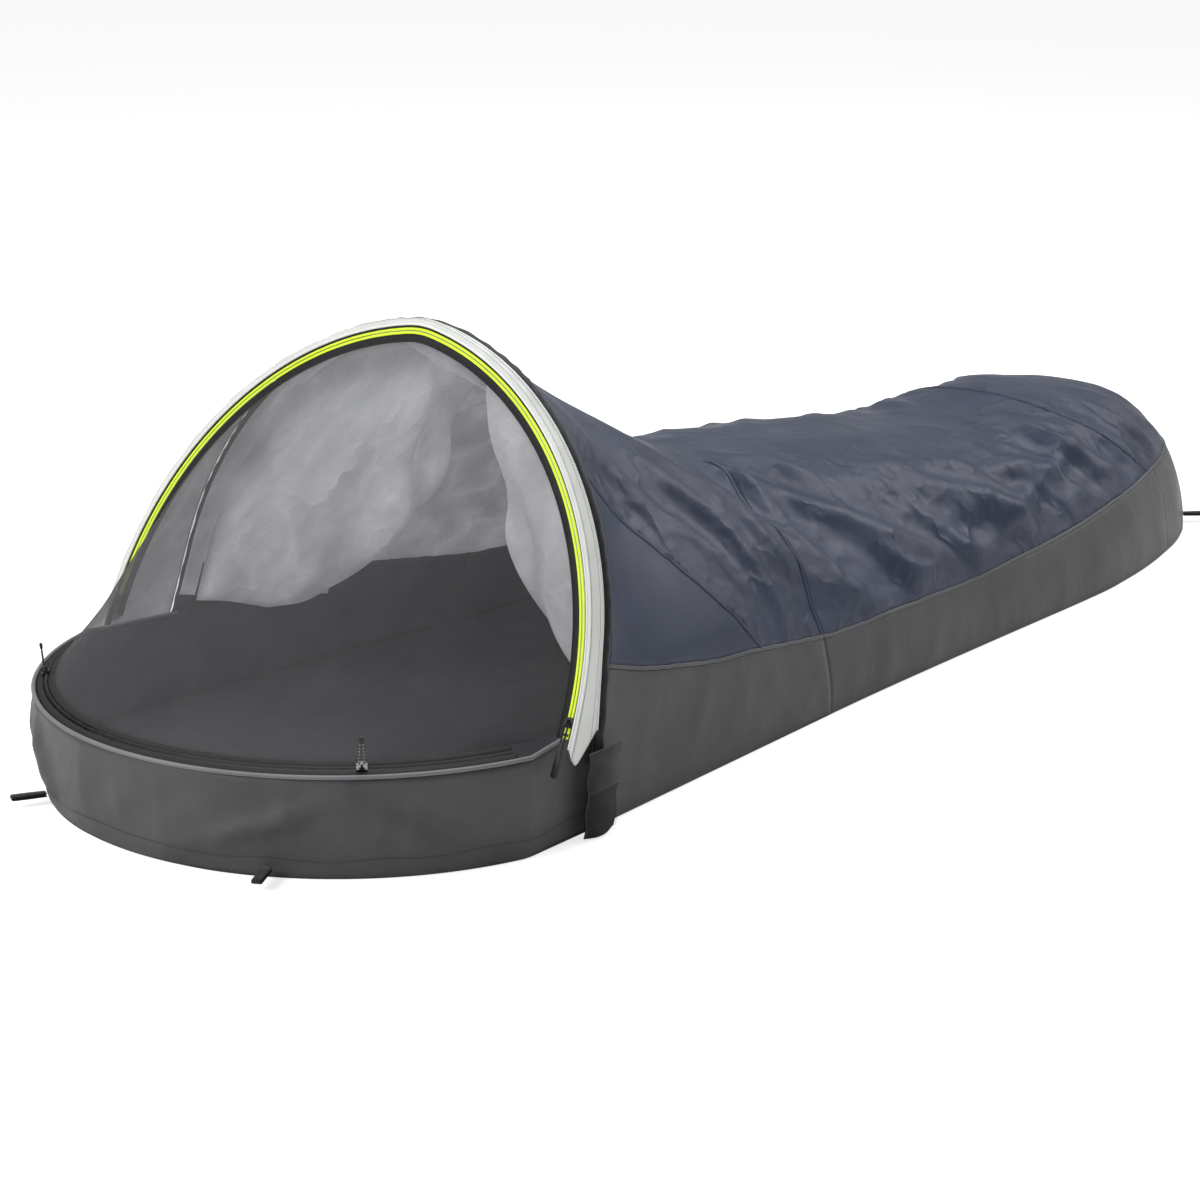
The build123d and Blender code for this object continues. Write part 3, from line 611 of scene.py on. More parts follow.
def cloth(
    name, colour, roughness, weave=0.0007, crinkle=0.0, crease=0.0, sheen=0.0, variation=0.12, glow=0.0
):
    """Woven, coated cloth: fine threads, small crinkles, mottled colour and worn sheen.

    glow is painted light: the cloth emits its own mottled colour, more along the crease lines where it has
    any, in place of the daylight that comes through thin cloth from outside."""
    shader = Shader(name, roughness, 0.4)
    tint = mottled(shader, 9.0, colour, variation)
    worn = shader.math("MULTIPLY_ADD", shader.noise(22.0, 5.0), 0.22, roughness - 0.11)
    shader.join(worn, shader.surface.inputs["Roughness"])
    threads = shader.math("MULTIPLY", shader.threads(weave, "X"), shader.threads(weave, "Y"))
    shader.raise_by(threads, weave * 0.16)
    if crinkle:
        shader.raise_by(shader.noise(38.0, 5.0, 0.6), crinkle)
    if crease:
        lines = shader.noise(9.0, 3.0, 0.5)
        ridge = shader.math("ABSOLUTE", shader.math("SUBTRACT", lines, 0.5))
        sharp = shader.math("POWER", shader.math("SUBTRACT", 1.0, ridge), 6.0)
        shader.raise_by(sharp, crease)
    # Painted glow: emission in the cloth's tint, stronger along the crease lines, standing in for light
    # through the cloth.
    if glow:
        shader.join(tint, shader.surface.inputs["Emission Color"])
        light = shader.math("MULTIPLY_ADD", sharp if crease else 1.0, glow * 0.7, glow * 0.6)
        shader.join(light, shader.surface.inputs["Emission Strength"])
    if sheen:
        shader.surface.inputs["Sheen Weight"].default_value = sheen
        shader.surface.inputs["Sheen Roughness"].default_value = 0.4
    return shader.material


def netting(name, colour, cover):
    """Fine netting: threads with open holes between them, closing up where it is seen at a slant."""
    shader = Shader(name, 0.7, 0.2)
    shader.surface.inputs["Base Color"].default_value = (*colour, 1)
    cell = shader.math("MULTIPLY", shader.threads(0.0011, "X"), shader.threads(0.0011, "Y"))
    facing = shader.node("ShaderNodeLayerWeight", Blend=0.5).outputs["Facing"]
    slant = shader.math("MULTIPLY", shader.math("POWER", facing, 2.0), 0.32)
    drape = shader.noise(11.0, 4.0, stretch=(2.4, 1.6, 0.5))
    fold = shader.math("MULTIPLY", shader.math("SUBTRACT", drape, 0.5), 0.2)
    base = shader.math("ADD", shader.math("ADD", slant, fold), cover + 0.10)
    alpha = shader.math("SUBTRACT", base, shader.math("MULTIPLY", cell, 0.28))
    path = shader.node("ShaderNodeLightPath")
    seen = shader.math("MAXIMUM", path.outputs["Is Camera Ray"], 0.35)
    alpha = shader.math("MULTIPLY", shader.math("MINIMUM", alpha, 0.97), seen)
    shader.join(alpha, shader.surface.inputs["Alpha"])
    return shader.material


def plain(name, colour, roughness=0.5, metallic=0.0, grain=0.0003):
    """Moulded, cast or drawn surface with slight grain and handling marks."""
    shader = Shader(name, roughness, 0.5)
    mottled(shader, 60.0, colour, 0.1)
    shader.surface.inputs["Metallic"].default_value = metallic
    worn = shader.math("MULTIPLY_ADD", shader.noise(150.0, 4.0), 0.25, roughness - 0.12)
    shader.join(worn, shader.surface.inputs["Roughness"])
    shader.raise_by(shader.noise(700.0, 3.0), grain)
    return shader.material


NAVY = (0.030, 0.041, 0.077)
TUB_GREY = (0.066, 0.067, 0.070)
LINING = (0.62, 0.625, 0.65)
navy = cloth("navy_shell", NAVY, 0.31, crinkle=0.0005, crease=0.0042)
navy_taut = cloth("navy_taut", NAVY, 0.42, crinkle=0.0003)
tub_grey = cloth("tub_grey", TUB_GREY, 0.43, crinkle=0.0007, crease=0.0009, sheen=0.1)
tub_inside = cloth("tub_inside", (0.055, 0.055, 0.059), 0.62, crinkle=0.001, crease=0.001)
# The grey lining's glow is painted light, in place of daylight through the shell, brighter along its crease
# lines.
lining = cloth("grey_lining", LINING, 0.42, crinkle=0.0012, crease=0.0050, variation=0.05, glow=0.38)
flap_white = cloth("flap_white", (0.74, 0.76, 0.72), 0.55, crinkle=0.0008, variation=0.05)
piping_white = cloth("piping_white", (0.85, 0.86, 0.87), 0.5, crinkle=0.0003, variation=0.04)
black_cloth = cloth("black_cloth", (0.012, 0.012, 0.014), 0.6, crinkle=0.001, sheen=0.2)
black_tape = cloth("black_tape", (0.010, 0.010, 0.011), 0.65, weave=0.0012, crinkle=0.0004)
seam_grey = cloth("seam_grey", (0.14, 0.14, 0.15), 0.5, weave=0.001, crinkle=0.0004)
seam_navy = cloth("seam_navy", (0.045, 0.056, 0.092), 0.36, weave=0.001, crinkle=0.0004)
# The rim binding's grey is lighter than the tub's grey, a painted highlight along the rim.
rim_highlight_grey = cloth("rim_highlight_grey", (0.20, 0.20, 0.21), 0.35, weave=0.001, crinkle=0.0003)
# The lime tape's glow is painted light that brightens its colour.
lime = cloth("lime_tape", (0.72, 0.90, 0.04), 0.55, weave=0.001, crinkle=0.0003, variation=0.06, glow=0.12)
webbing = cloth("black_webbing", (0.010, 0.010, 0.011), 0.7, weave=0.0016, sheen=0.3)
net = netting("mesh_netting", (0.075, 0.076, 0.08), 0.27)
thread_dark = plain("thread_dark", (0.02, 0.02, 0.024), 0.6)
thread_navy = plain("thread_navy", (0.05, 0.06, 0.095), 0.5)
thread_grey = plain("thread_grey", (0.16, 0.16, 0.17), 0.6)
coil_black = plain("coil_black", (0.012, 0.012, 0.013), 0.35)
enamel = plain("black_enamel", (0.012, 0.012, 0.013), 0.28, grain=0.0001)
grip_black = plain("grip_black", (0.02, 0.02, 0.022), 0.55, grain=0.0006)
cord = cloth("black_cord", (0.022, 0.023, 0.026), 0.7, weave=0.0009, crinkle=0.0002, sheen=0.2)
fleck = plain("cord_fleck", (0.65, 0.65, 0.66), 0.35)
anodised = plain("anodised_pole", (0.30, 0.31, 0.33), 0.3, metallic=1.0, grain=0.0001)


# ---------------------------------------------------------------- skin behind the hoop
# Every panel's number is its tag on the faces of the whole skin.
PANELS = {
    "side_wall_front_right": 0,
    "side_wall_front_left": 1,
    "side_wall_rear_right": 2,
    "side_wall_rear_left": 3,
    "foot_wall": 4,
    "hood_panel": 5,
    "hood_gusset_right": 6,
    "hood_gusset_left": 7,
    "body_panel": 8,
    "foot_cap": 9,
}
WALL, HOOD, FOOT = 1, 2, 4


def seam_normal(high, low):
    run = low - high
    return unit(np.array([0, -run[2], run[1]]))


GUSSET_NORMAL = seam_normal(GUSSET_TOP, GUSSET_LOW)
CAP_NORMAL = seam_normal(CAP_RIDGE, CAP_SIDE)


def panel_of(tag, x, y, z):
    """The panel that a face belongs to, from its rough tag and its middle."""
    side = "right" if x > 0 else "left"
    centre = np.array([0, y, z])
    if tag & FOOT or (tag == WALL and y > CAP_SIDE[1]):
        return "foot_wall"
    if tag & WALL:
        return f"side_wall_{'front' if tag & HOOD else 'rear'}_{side}"
    if tag & HOOD:
        return f"hood_gusset_{side}" if (centre - GUSSET_TOP) @ GUSSET_NORMAL < 0 else "hood_panel"
    return "foot_cap" if (centre - CAP_RIDGE) @ CAP_NORMAL > 0 else "body_panel"


def skin_object():
    """The whole skin as one object, cut along its slanting seams."""
    grid = skin_rows()
    rows, columns = grid.shape[:2]
    points = grid.reshape(-1, 3)
    row = np.repeat(np.arange(rows - 1), columns - 1)
    column = np.tile(np.arange(columns - 1), rows - 1)
    wall = (column < WALL_COLUMNS) | (column >= columns - 1 - WALL_COLUMNS)
    base = wall * WALL + (row < HOOD_ROWS) * HOOD + (row >= HOOD_ROWS + BODY_ROWS) * FOOT
    obj = new_object("skin", points, grid_faces(rows, columns), grid_uvs(grid), base)
    shape = bmesh.new()
    shape.from_mesh(obj.data)
    layer = shape.faces.layers.int["panel"]
    cuts = [
        (GUSSET_TOP, GUSSET_NORMAL, HOOD),
        (CAP_RIDGE, CAP_NORMAL, 0),
        (np.array([0, CAP_SIDE[1], 0]), np.array([0, 1.0, 0]), WALL),
    ]
    for point, normal, tag in cuts:
        faces = [f for f in shape.faces if f[layer] == tag]
        edges = list({e for f in faces for e in f.edges})
        verts = list({v for f in faces for v in f.verts})
        bmesh.ops.bisect_plane(
            shape, geom=faces + edges + verts, plane_co=Vector(point), plane_no=Vector(normal), dist=0.0008
        )
    for face in shape.faces:
        face[layer] = PANELS[panel_of(face[layer], *face.calc_center_median())]
    shape.to_mesh(obj.data)
    shape.free()
    obj.data.update()
    return obj, rows, columns


def off_plane(points, point, normal):
    return np.abs((points - point) @ normal)


# start and end as (station, angle round the body from the crown in degrees), width and rise in metres
CREASES = [
    ((0.52, 24), (0.86, 64), 0.018, 0.016),
    ((0.44, 30), (0.70, 74), 0.014, 0.010),
    ((0.62, 18), (1.05, 58), 0.020, 0.010),
    ((0.80, 30), (1.20, 48), 0.016, 0.010),
    ((0.95, 62), (1.32, 40), 0.013, 0.009),
    ((1.22, 16), (1.34, 66), 0.016, 0.010),
    ((1.30, 22), (1.42, 60), 0.012, -0.008),
    ((1.42, 26), (1.56, 62), 0.012, 0.007),
]
METRES_PER_DEGREE = 0.42 / 90  # cloth from the crown to the ground, over its quarter turn


def crease(points, start, end, width, rise, side):
    """One soft ridge between two places on the body, seen from the crown down one side."""
    angle = np.degrees(np.arctan2(points[:, 0] * side, points[:, 2] + 0.02))
    place = np.stack([points[:, 1], angle * METRES_PER_DEGREE], -1)
    a = np.array([start[0], start[1] * METRES_PER_DEGREE])
    b = np.array([end[0], end[1] * METRES_PER_DEGREE])
    run = b - a
    share = ((place - a) @ run) / (run @ run)
    away = place - a - np.clip(share, 0, 1)[:, None] * run
    bend = 0.125 * width * np.sin(share * 5.0 + start[0] * 9)
    distance = np.linalg.norm(away, axis=1) + bend
    fade = np.clip(np.minimum(share + 0.25, 1.25 - share) / 0.4, 0, 1)
    return rise * np.exp(-((distance / width) ** 2)) * fade


def near(distance, reach):
    return np.exp(-((distance / reach) ** 2))


def settle_skin(obj, rows, columns):
    """Adds the large folds, then lets the cloth find the small ones between its seams."""
    points = coordinates(obj.data)
    normals = vertex_normals(obj.data)
    station, height = points[:, 1], points[:, 2]
    seam_height = eased(station, SEAM_AT, SEAM_HEIGHTS)
    gusset_side = (points - GUSSET_TOP) @ GUSSET_NORMAL
    cap_side = (points - CAP_RIDGE) @ CAP_NORMAL
    shell = np.clip((height - seam_height - 0.004) / 0.03, 0, 1)
    wall = np.clip((seam_height - height) / 0.03, 0, 1) * np.clip(height / 0.02, 0, 1)
    loose = np.clip(gusset_side / 0.06, 0, 1) * np.clip((station - 0.14) / 0.12, 0, 1)
    loose = np.where(station > HOOD_END, 1.0, loose) * shell
    loose *= 1 - 0.7 * near(cap_side, 0.02)
    foot = np.clip((1.66 - station) / 0.05, 0, 1)
    down = np.abs(np.arctan2(points[:, 0], height + 0.05) * 0.3)
    # The folds of the left side differ from those of the right side.
    drift = points + np.outer(points[:, 0] < 0, [0, 0.37, 0])
    broad = fold_heights(drift, down, count=4, size=0.046, lean=0.75, spread=0.30, seed=11)
    fine = fold_heights(drift, down, count=6, size=0.018, lean=0.6, spread=0.6, seed=5)
    side = np.clip((down - 0.02) / 0.16, 0.02, 1) ** 1.2
    lift = (0.066 * (broad - broad.mean()) + 0.012 * (fine - fine.mean())) * loose * foot * side
    for start, end, width, rise in CREASES:
        for _, mirror in SIDES:
            lift += crease(points, start, end, width, rise, mirror) * np.clip(loose + 0.1, 0, 1)
    ripple = fold_heights(points, height, count=6, size=0.03, lean=1.3, spread=0.25, seed=3)
    lift += 0.010 * (ripple - ripple.mean()) * wall
    obj.data.vertices.foreach_set("co", (points + normals * lift[:, None]).astype(np.float32).ravel())
    obj.data.update()
    in_gusset = (gusset_side < 0) & (station < 0.45)
    pins = np.full(len(points), 0.02)
    for held in (
        0.25 * near(height - seam_height, 0.010),
        0.15 * near(cap_side, 0.010) * (station > 1.2),
        0.30 * in_gusset,
        0.20 * np.clip(1 - down / 0.07, 0, 1),
        0.20 * (np.abs(station - HOOD_END) < 0.003),
        1.0 * (height < 0.004),
    ):
        pins = np.maximum(pins, held)
    pins[:columns] = 1
    excess = 0.030 * np.clip(loose * side + 0.25 * wall, 0, 1)
    simulate(obj, pins, excess)


def panel_finish(node):
    """Outer and inner cloth, thickness and slot of a panel."""
    if "wall" in node:
        return (tub_grey, tub_inside), TUB_THICKNESS, "tub_fabric"
    return (navy_taut if "gusset" in node else navy, lining), SHELL_THICKNESS, "shell_fabric"


def vertex_uvs(mesh):
    where = np.zeros(len(mesh.loops), np.int32)
    mesh.loops.foreach_get("vertex_index", where)
    flat = np.zeros(len(mesh.loops) * 2, np.float32)
    mesh.uv_layers["cloth"].data.foreach_get("uv", flat)
    uvs = np.zeros((len(mesh.vertices), 2))
    uvs[where] = flat.reshape(-1, 2)
    return uvs


def build_skin():
    obj, rows, columns = skin_object()
    rest = coordinates(obj.data)
    settle_skin(obj, rows, columns)
    mesh = obj.data
    points, normals, uvs = coordinates(mesh), vertex_normals(mesh), vertex_uvs(mesh)
    tags = np.zeros(len(mesh.polygons), np.int32)
    mesh.attributes["panel"].data.foreach_get("value", tags)
    polygons = [list(p.vertices) for p in mesh.polygons]
    for node, tag in PANELS.items():
        materials, thickness, slot = panel_finish(node)
        faces = [polygons[i] for i in np.nonzero(tags == tag)[0]]
        piece = two_layer("cloth_" + node, points, normals, faces, uvs, thickness, materials)
        put(piece, HOOD_CLOTH if "hood" in node or "front" in node else "sack", node)
    skin_seams(rest, points, normals, rows, columns)
    loose_lining(points[: rows * columns].reshape(rows, columns, 3))
    bpy.data.objects.remove(obj)


LINING_ROWS, LINING_COLUMNS = 30, 64
LINING_SLACK = 0.150  # how far the loose lining hangs in from the hood's cloth


def loose_lining(skin):
    """Lining that hangs slack on both sides of the opening, from the hoop back to the gussets."""
    share = np.linspace(0, 1, LINING_ROWS)[:, None]
    climb = np.linspace(0, 1, LINING_COLUMNS)[None]
    slack = np.sin(np.clip(share * 1.25, 0, 1) * math.pi) ** 0.8 * np.sin(climb**0.75 * math.pi) ** 0.6
    folds = 0.014 * np.sin(share * 15 + 2.4 * np.sin(climb * 4 + 1)) + 0.010 * np.sin(share * 27 + climb * 9)
    inwards = (LINING_SLACK * slack + folds * np.sqrt(slack) + 0.007)[..., None]
    for side, sign in SIDES:
        chosen = np.arange(WALL_COLUMNS - 3, WALL_COLUMNS + 45)
        if sign < 0:
            chosen = skin.shape[1] - 1 - chosen
        grid = np.array([resample(row, LINING_COLUMNS) for row in skin[1 : LINING_ROWS + 1, chosen]])
        grid = grid + inwards * np.array([-sign, 0.0, -0.12]) - UP * 0.004
        hanging = sheet(f"cloth_loose_lining_{side}", grid[:, ::-sign], 0.0010, (lining, lining))
        put(hanging, HOOD_CLOTH)


GREY_SEAM, NAVY_SEAM = (seam_grey, thread_dark), (seam_navy, thread_navy)


def seam_line(name, path, up, body, finish, width, thickness, rows=2):
    """Folded seam lying on the cloth, with its rows of stitches."""
    band = merged(name, [ribbon(path + up * 0.0003, up, width, thickness)], finish[0])
    across, over = frames_along(path, up)
    offsets = (-0.3, 0.3) if rows == 2 else (0.0,)
    lines = [stitch_row(path + up * thickness * 0.8 + across * (o * width), over) for o in offsets]
    for piece in (band, merged(name + "_stitches", lines, finish[1])):
        put(piece, body)


def skin_seams(rest, points, normals, rows, columns):
    """Seams between the wall and the shell, between hood and body, round the gussets and the foot cap."""
    index = np.arange(rows * columns).reshape(rows, columns)
    last = HOOD_ROWS + BODY_ROWS
    for side, column in (("right", WALL_COLUMNS), ("left", columns - 1 - WALL_COLUMNS)):
        front, rear = index[: HOOD_ROWS + 1, column], index[HOOD_ROWS:last, column]
        for part, line, body in (("front", front, HOOD_CLOTH), ("rear", rear, "sack")):
            name = f"wall_seam_{part}_{side}"
            seam_line(name, points[line], normals[line], body, GREY_SEAM, 0.0045, 0.0012, rows=1)
    line = index[HOOD_ROWS, WALL_COLUMNS : columns - WALL_COLUMNS]
    seam_line("hood_body_seam", points[line], normals[line], "sack", NAVY_SEAM, 0.004, 0.0003, rows=1)
    above = rest[:, 2] > eased(rest[:, 1], SEAM_AT, SEAM_HEIGHTS) - 0.001
    on_cap = (off_plane(rest, CAP_RIDGE, CAP_NORMAL) < 1e-3) & above & (rest[:, 1] > 1.2)
    line = np.nonzero(on_cap)[0]
    line = line[np.argsort(np.arctan2(rest[line, 2], rest[line, 0]))]
    seam_line("foot_cap_seam", points[line], normals[line], "sack", NAVY_SEAM, 0.006, 0.0007)
    on_gusset = (off_plane(rest, GUSSET_TOP, GUSSET_NORMAL) < 1e-3) & above & (rest[:, 1] < 0.42)
    for side, sign in SIDES:
        line = np.nonzero(on_gusset & (rest[:, 0] * sign > 0))[0]
        line = line[np.argsort(rest[line, 1])]
        seam_line(f"gusset_seam_{side}", points[line], normals[line], HOOD_CLOTH, NAVY_SEAM, 0.006, 0.0007)


build_skin()


# ---------------------------------------------------------------- tub: head wall and floor
HEAD_ROWS, HEAD_COLUMNS = 16, 190
HEM_HEIGHT = 0.002  # the head wall's folds begin above its hem
# angle round the head, width in degrees, rise, and degrees leaned from bottom to top
HEAD_FOLDS = [
    (-64, 4.0, 0.010, 44),
    (-84, 5.0, -0.007, 22),
    (-100, 4.0, 0.006, 12),
    (-118, 3.0, 0.010, -8),
    (-127, 2.6, -0.009, -6),
    (-136, 3.0, 0.010, -4),
    (-146, 2.6, -0.007, 4),
    (-34, 4.0, -0.008, -26),
]


def head_wall_grid():
    """From the ground to the rim, from the right return round the head to the left return."""
    low_end = np.array([WALL_START - 0.002, 0.008])
    high_end = np.array([WALL_START - 0.015, 0.036])
    rows = []
    for share in np.linspace(0, 1, HEAD_ROWS + 1):
        radius = HEAD_RADIUS + (RIM_RADIUS - HEAD_RADIUS) * share - 0.0005
        height = GROUND_GAP + (RIM_HEIGHT - GROUND_GAP) * share
        x, y = low_end + (high_end - low_end) * share
        row = np.concatenate([[[x, y, height]], around_head(radius, height, 160), [[-x, y, height]]])
        rows.append(resample(row, HEAD_COLUMNS))
    return np.array(rows)


def build_head_wall():
    grid = head_wall_grid()
    points = grid.reshape(-1, 3)
    normals = grid_normals(points, grid_faces(*grid.shape[:2]))
    height = (points[:, 2] - HEM_HEIGHT) / (RIM_HEIGHT - HEM_HEIGHT)
    middle = np.sin(np.clip(height, 0, 1) * math.pi)
    turn = np.arctan2(points[:, 1], points[:, 0])
    run = turn * 0.38
    place = np.stack([run, run, run], -1)
    folds = fold_heights(place, points[:, 2], count=7, size=0.026, lean=1.25, spread=0.3, seed=21)
    lift = 0.012 * (folds - folds.mean()) * middle + 0.003 * middle
    for angle, width, rise, lean in HEAD_FOLDS:
        lift += rise * near(np.degrees(turn) - angle - lean * (height - 0.5), width) * middle
    right_fade = np.clip((np.degrees(-turn) - 12) / 8, 0, 1)
    left_fade = np.clip((168 + np.degrees(turn)) / 8, 0, 1)
    grid = (points + normals * (lift * right_fade * left_fade)[:, None]).reshape(grid.shape)
    wall = sheet("cloth_head_wall", grid, TUB_THICKNESS, (tub_grey, tub_inside))
    put(wall, "sack", "head_wall")
    hem = resample(grid[3], 400)
    outward = radial(hem)
    hem[:, 2] += 0.0015 * np.sin(np.linspace(0, 60, 400))
    put(merged("hem_stitches", [stitch_row(hem + outward * 0.0006, outward)], thread_dark), "sack")


ROUND_END = -0.1036  # station where the round head meets the straight returns


def floor_half_width(y):
    """Half width of the floor at each station along the sack."""
    head = np.sqrt(np.maximum(HEAD_RADIUS**2 - y**2, 0))
    widths = [HEAD_RADIUS * math.cos(HEAD_END), WALL_START, HALF_WIDTHS[0]]
    behind = np.interp(y, [ROUND_END, 0.009, HOOD_END], widths)
    body = eased(y, STATIONS, HALF_WIDTHS)
    return np.where(y < ROUND_END, head, np.where(y < HOOD_END, behind, body)) - 0.0004


def build_floor():
    stations = np.concatenate([np.linspace(-0.3735, -0.34, 12), np.linspace(-0.33, 1.679, 200)])
    shares = np.linspace(1, -1, 70)
    x = floor_half_width(stations)[:, None] * shares
    y = np.repeat(stations[:, None], len(shares), 1)
    flat = np.stack([x, y, np.zeros_like(x)], -1).reshape(-1, 3)
    folds = fold_heights(flat, flat[:, 0], count=8, size=0.05, lean=0.8, spread=0.8, seed=31)
    edge = 1 - np.tile(np.abs(shares) ** 6, len(stations))
    flat[:, 2] = 0.0012 + 0.014 * folds * edge
    floor = sheet("cloth_floor_panel", flat.reshape(*x.shape, 3), 0.001, (tub_inside, tub_grey))
    put(floor, "sack", "floor_panel")


build_head_wall()
build_floor()


# ---------------------------------------------------------------- rim: binding and zip
RIM_RISE = np.array([-math.cos(RIM_SLOPE), math.sin(RIM_SLOPE)])  # radius and height, up the tapes


def rim_up(line):
    """Direction square to the rim zip's tapes."""
    return radial(line) * math.sin(RIM_SLOPE) + UP * math.cos(RIM_SLOPE)


def coil(path, up, radius=0.0015, pitch=0.0026, wire=0.0005):
    """Zip coil: a fine helix along a path."""
    turns = int(length_of(path) / pitch)
    points, ups = resample_with_up(path, up, turns * 7)
    across, over = frames_along(points, ups)
    phase = (np.arange(len(points)) * (2 * math.pi / 7))[:, None]
    helix = points + across * (radius * np.cos(phase)) + over * (radius * 0.75 * np.sin(phase))
    return tube(helix, wire, over, sides=4)


def build_rim():
    ring = around_head(RIM_RADIUS - 0.001, RIM_HEIGHT + 0.0025, 260)
    right, left = (np.array([sign * (WALL_START - 0.014), 0.021, RIM_HEIGHT + 0.0027]) for _, sign in SIDES)
    path = resample(np.concatenate([[right], ring, [left]]), 300)
    # The lighter grey of the binding is a painted highlight along the rim.
    binding = merged("rim_binding_tube", [tube(path, 0.0026, UP, sides=12)], rim_highlight_grey)
    put(binding, "sack", "rim_binding")
    stitches = stitch_row(path + radial(path) * 0.0026, radial(path))
    put(merged("rim_binding_stitches", [stitches], thread_grey), "sack")
    for part, side, body in (("lower", -1, "sack"), ("upper", 1, "hoop")):
        middle = np.array(RIM_COIL) + RIM_RISE * side * (TAPE_GAP + TAPE_WIDTH / 2 - 0.0005)
        line = around_head(*middle, 240, math.radians(2))
        tape = ribbon(line, rim_up(line), TAPE_WIDTH - 0.001, 0.0009)
        put(merged(f"rim_tape_{part}", [tape], black_tape), body, f"rim_zip_tape_{part}")
    line = around_head(*RIM_COIL, 400, math.radians(2))
    put(merged("rim_coil", [coil(line, rim_up(line))], coil_black), "sack", "rim_zip_coil")


# ---------------------------------------------------------------- hoop: sleeve, zip, flap, mesh and patches
def build_sleeve():
    path, along = trimmed(pole_line(900), 0.075)
    across, up = frames_along(path, HOOP_NORMAL)
    turn = np.linspace(0, 2 * math.pi, 20, endpoint=False)
    run = along[:, None]
    pucker = 0.0005 * np.sin(run * 210 + 1.5 * np.sin(turn) + 3 * np.sin(run * 23))
    radius = 0.0071 + pucker + 0.0004 * np.sin(run * 60 + 2 * turn)
    profile = np.stack([radius * np.cos(turn), radius * np.sin(turn)], -1)
    sleeve = merged("cloth_pole_sleeve", [swept(path, across, up, profile)], black_cloth)
    put(sleeve, "hoop", "pole_sleeve")


FACING_FOOT, FACING_SEAM, FACING_CROWN = 0.075, 0.140, 0.440  # heights of the facing's ends
FACING_LAP = 0.003


def build_facing():
    """Strips that cover the sleeve on the inside of the hoop, in the tub's cloth below the wall's seam.

    The strip over the crown is narrow, because the sliders pass it there."""
    path = pole_line(500, -0.0092, -0.001)
    outward = np.cross(unit(np.gradient(path, axis=0)), HOOP_NORMAL)
    right, height = path[:, 0] > 0, path[:, 2]
    for name, material, width, low, high in (
        ("crown", lining, 0.014, FACING_CROWN, 1.0),
        ("upper", lining, 0.027, FACING_SEAM, FACING_CROWN + FACING_LAP),
        ("lower", tub_inside, 0.027, FACING_FOOT, FACING_SEAM + FACING_LAP),
    ):
        reached = (height > low) & (height < high)
        runs = [reached] if name == "crown" else [reached & right, reached & ~right]
        strips = [ribbon(path[run], outward[run], width, 0.0010) for run in runs]
        put(merged(f"cloth_sleeve_facing_{name}", strips, material), "hoop")


BRIGHT_EDGE, BRIGHT_WIDTH = 0.0022, 0.0036  # distance from the coil's middle, and width


def build_hoop_zip():
    """Two tapes with bright inner edges, the coil between them, and the mesh's binding below."""
    for part, side in (("outer", 1), ("inner", -1)):
        name = f"hoop_tape_{part}"
        line = zip_line(300, side * (TAPE_GAP + TAPE_WIDTH / 2))
        tape = merged(name, [ribbon(line, ZIP_NORMAL, TAPE_WIDTH, 0.0010)], black_tape)
        put(tape, "hoop", f"hoop_zip_tape_{part}")
        edge = zip_line(300, side * BRIGHT_EDGE) + ZIP_NORMAL * 0.0010
        bright = merged(name + "_edge", [ribbon(edge, ZIP_NORMAL, BRIGHT_WIDTH, 0.0012)], lime)
        put(bright, "hoop")
        stitches = stitch_row(line + ZIP_NORMAL * 0.0006, ZIP_NORMAL)
        put(merged(name + "_stitches", [stitches], thread_dark), "hoop")
    teeth = coil(zip_line(500), ZIP_NORMAL)
    put(merged("hoop_coil", [teeth], coil_black), "hoop", "hoop_zip_coil")
    hem = tube(zip_line(300, -TAPE_EDGE), 0.0012, ZIP_NORMAL)
    put(merged("mesh_top_binding", [hem], black_tape), "hoop")


FLAP_ROWS, FLAP_COLUMNS = 12, 260
FLAP_TRIM = 0.112  # the flap ends this far up the pole
FLAP_POINT = 0.032  # how far its pointed ends run down


def flap_grid():
    """Storm flap from its front edge on the zip's outer tape, over the sleeve, to its rear edge."""
    front = zip_line(FLAP_COLUMNS, TAPE_EDGE - 0.0048) + ZIP_NORMAL * 0.0022
    over = zip_line(FLAP_COLUMNS, TAPE_EDGE + 0.0012) + ZIP_NORMAL * 0.0016
    rear = resample(trimmed(pole_line(900, 0.0042, 0.0095), FLAP_TRIM)[0], FLAP_COLUMNS)
    share = np.linspace(0, 1, FLAP_ROWS - 2)[:, None, None]
    grid = np.concatenate([[front, (front + over) / 2], over * (1 - share) + rear * share])
    run = np.linspace(0, 1.25, FLAP_COLUMNS)
    ripple = 0.0010 * np.sin(run * 64 + 2 * np.sin(run * 13)) + 0.0008 * np.sin(run * 151)
    bulge = np.sin(np.linspace(0, math.pi, FLAP_ROWS))[:, None] * (0.0022 + ripple)
    normal = unit((front + rear) / 2 - np.array([0, 0.1, 0.13])) * 0.6 + ZIP_NORMAL * 0.5
    grid = grid + normal * bulge[..., None]
    point = FLAP_POINT * (1 - np.abs(np.linspace(-1, 1, FLAP_ROWS) + 0.2) / 1.2)[:, None, None]
    fade = np.clip(1 - np.arange(FLAP_COLUMNS) / 12, 0, 1) ** 1.5
    fade = (fade + fade[::-1])[:, None]
    grid = grid + np.array([0, -math.sin(HOOP_LEAN), -math.cos(HOOP_LEAN)]) * point * fade
    return grid, unit(normal)


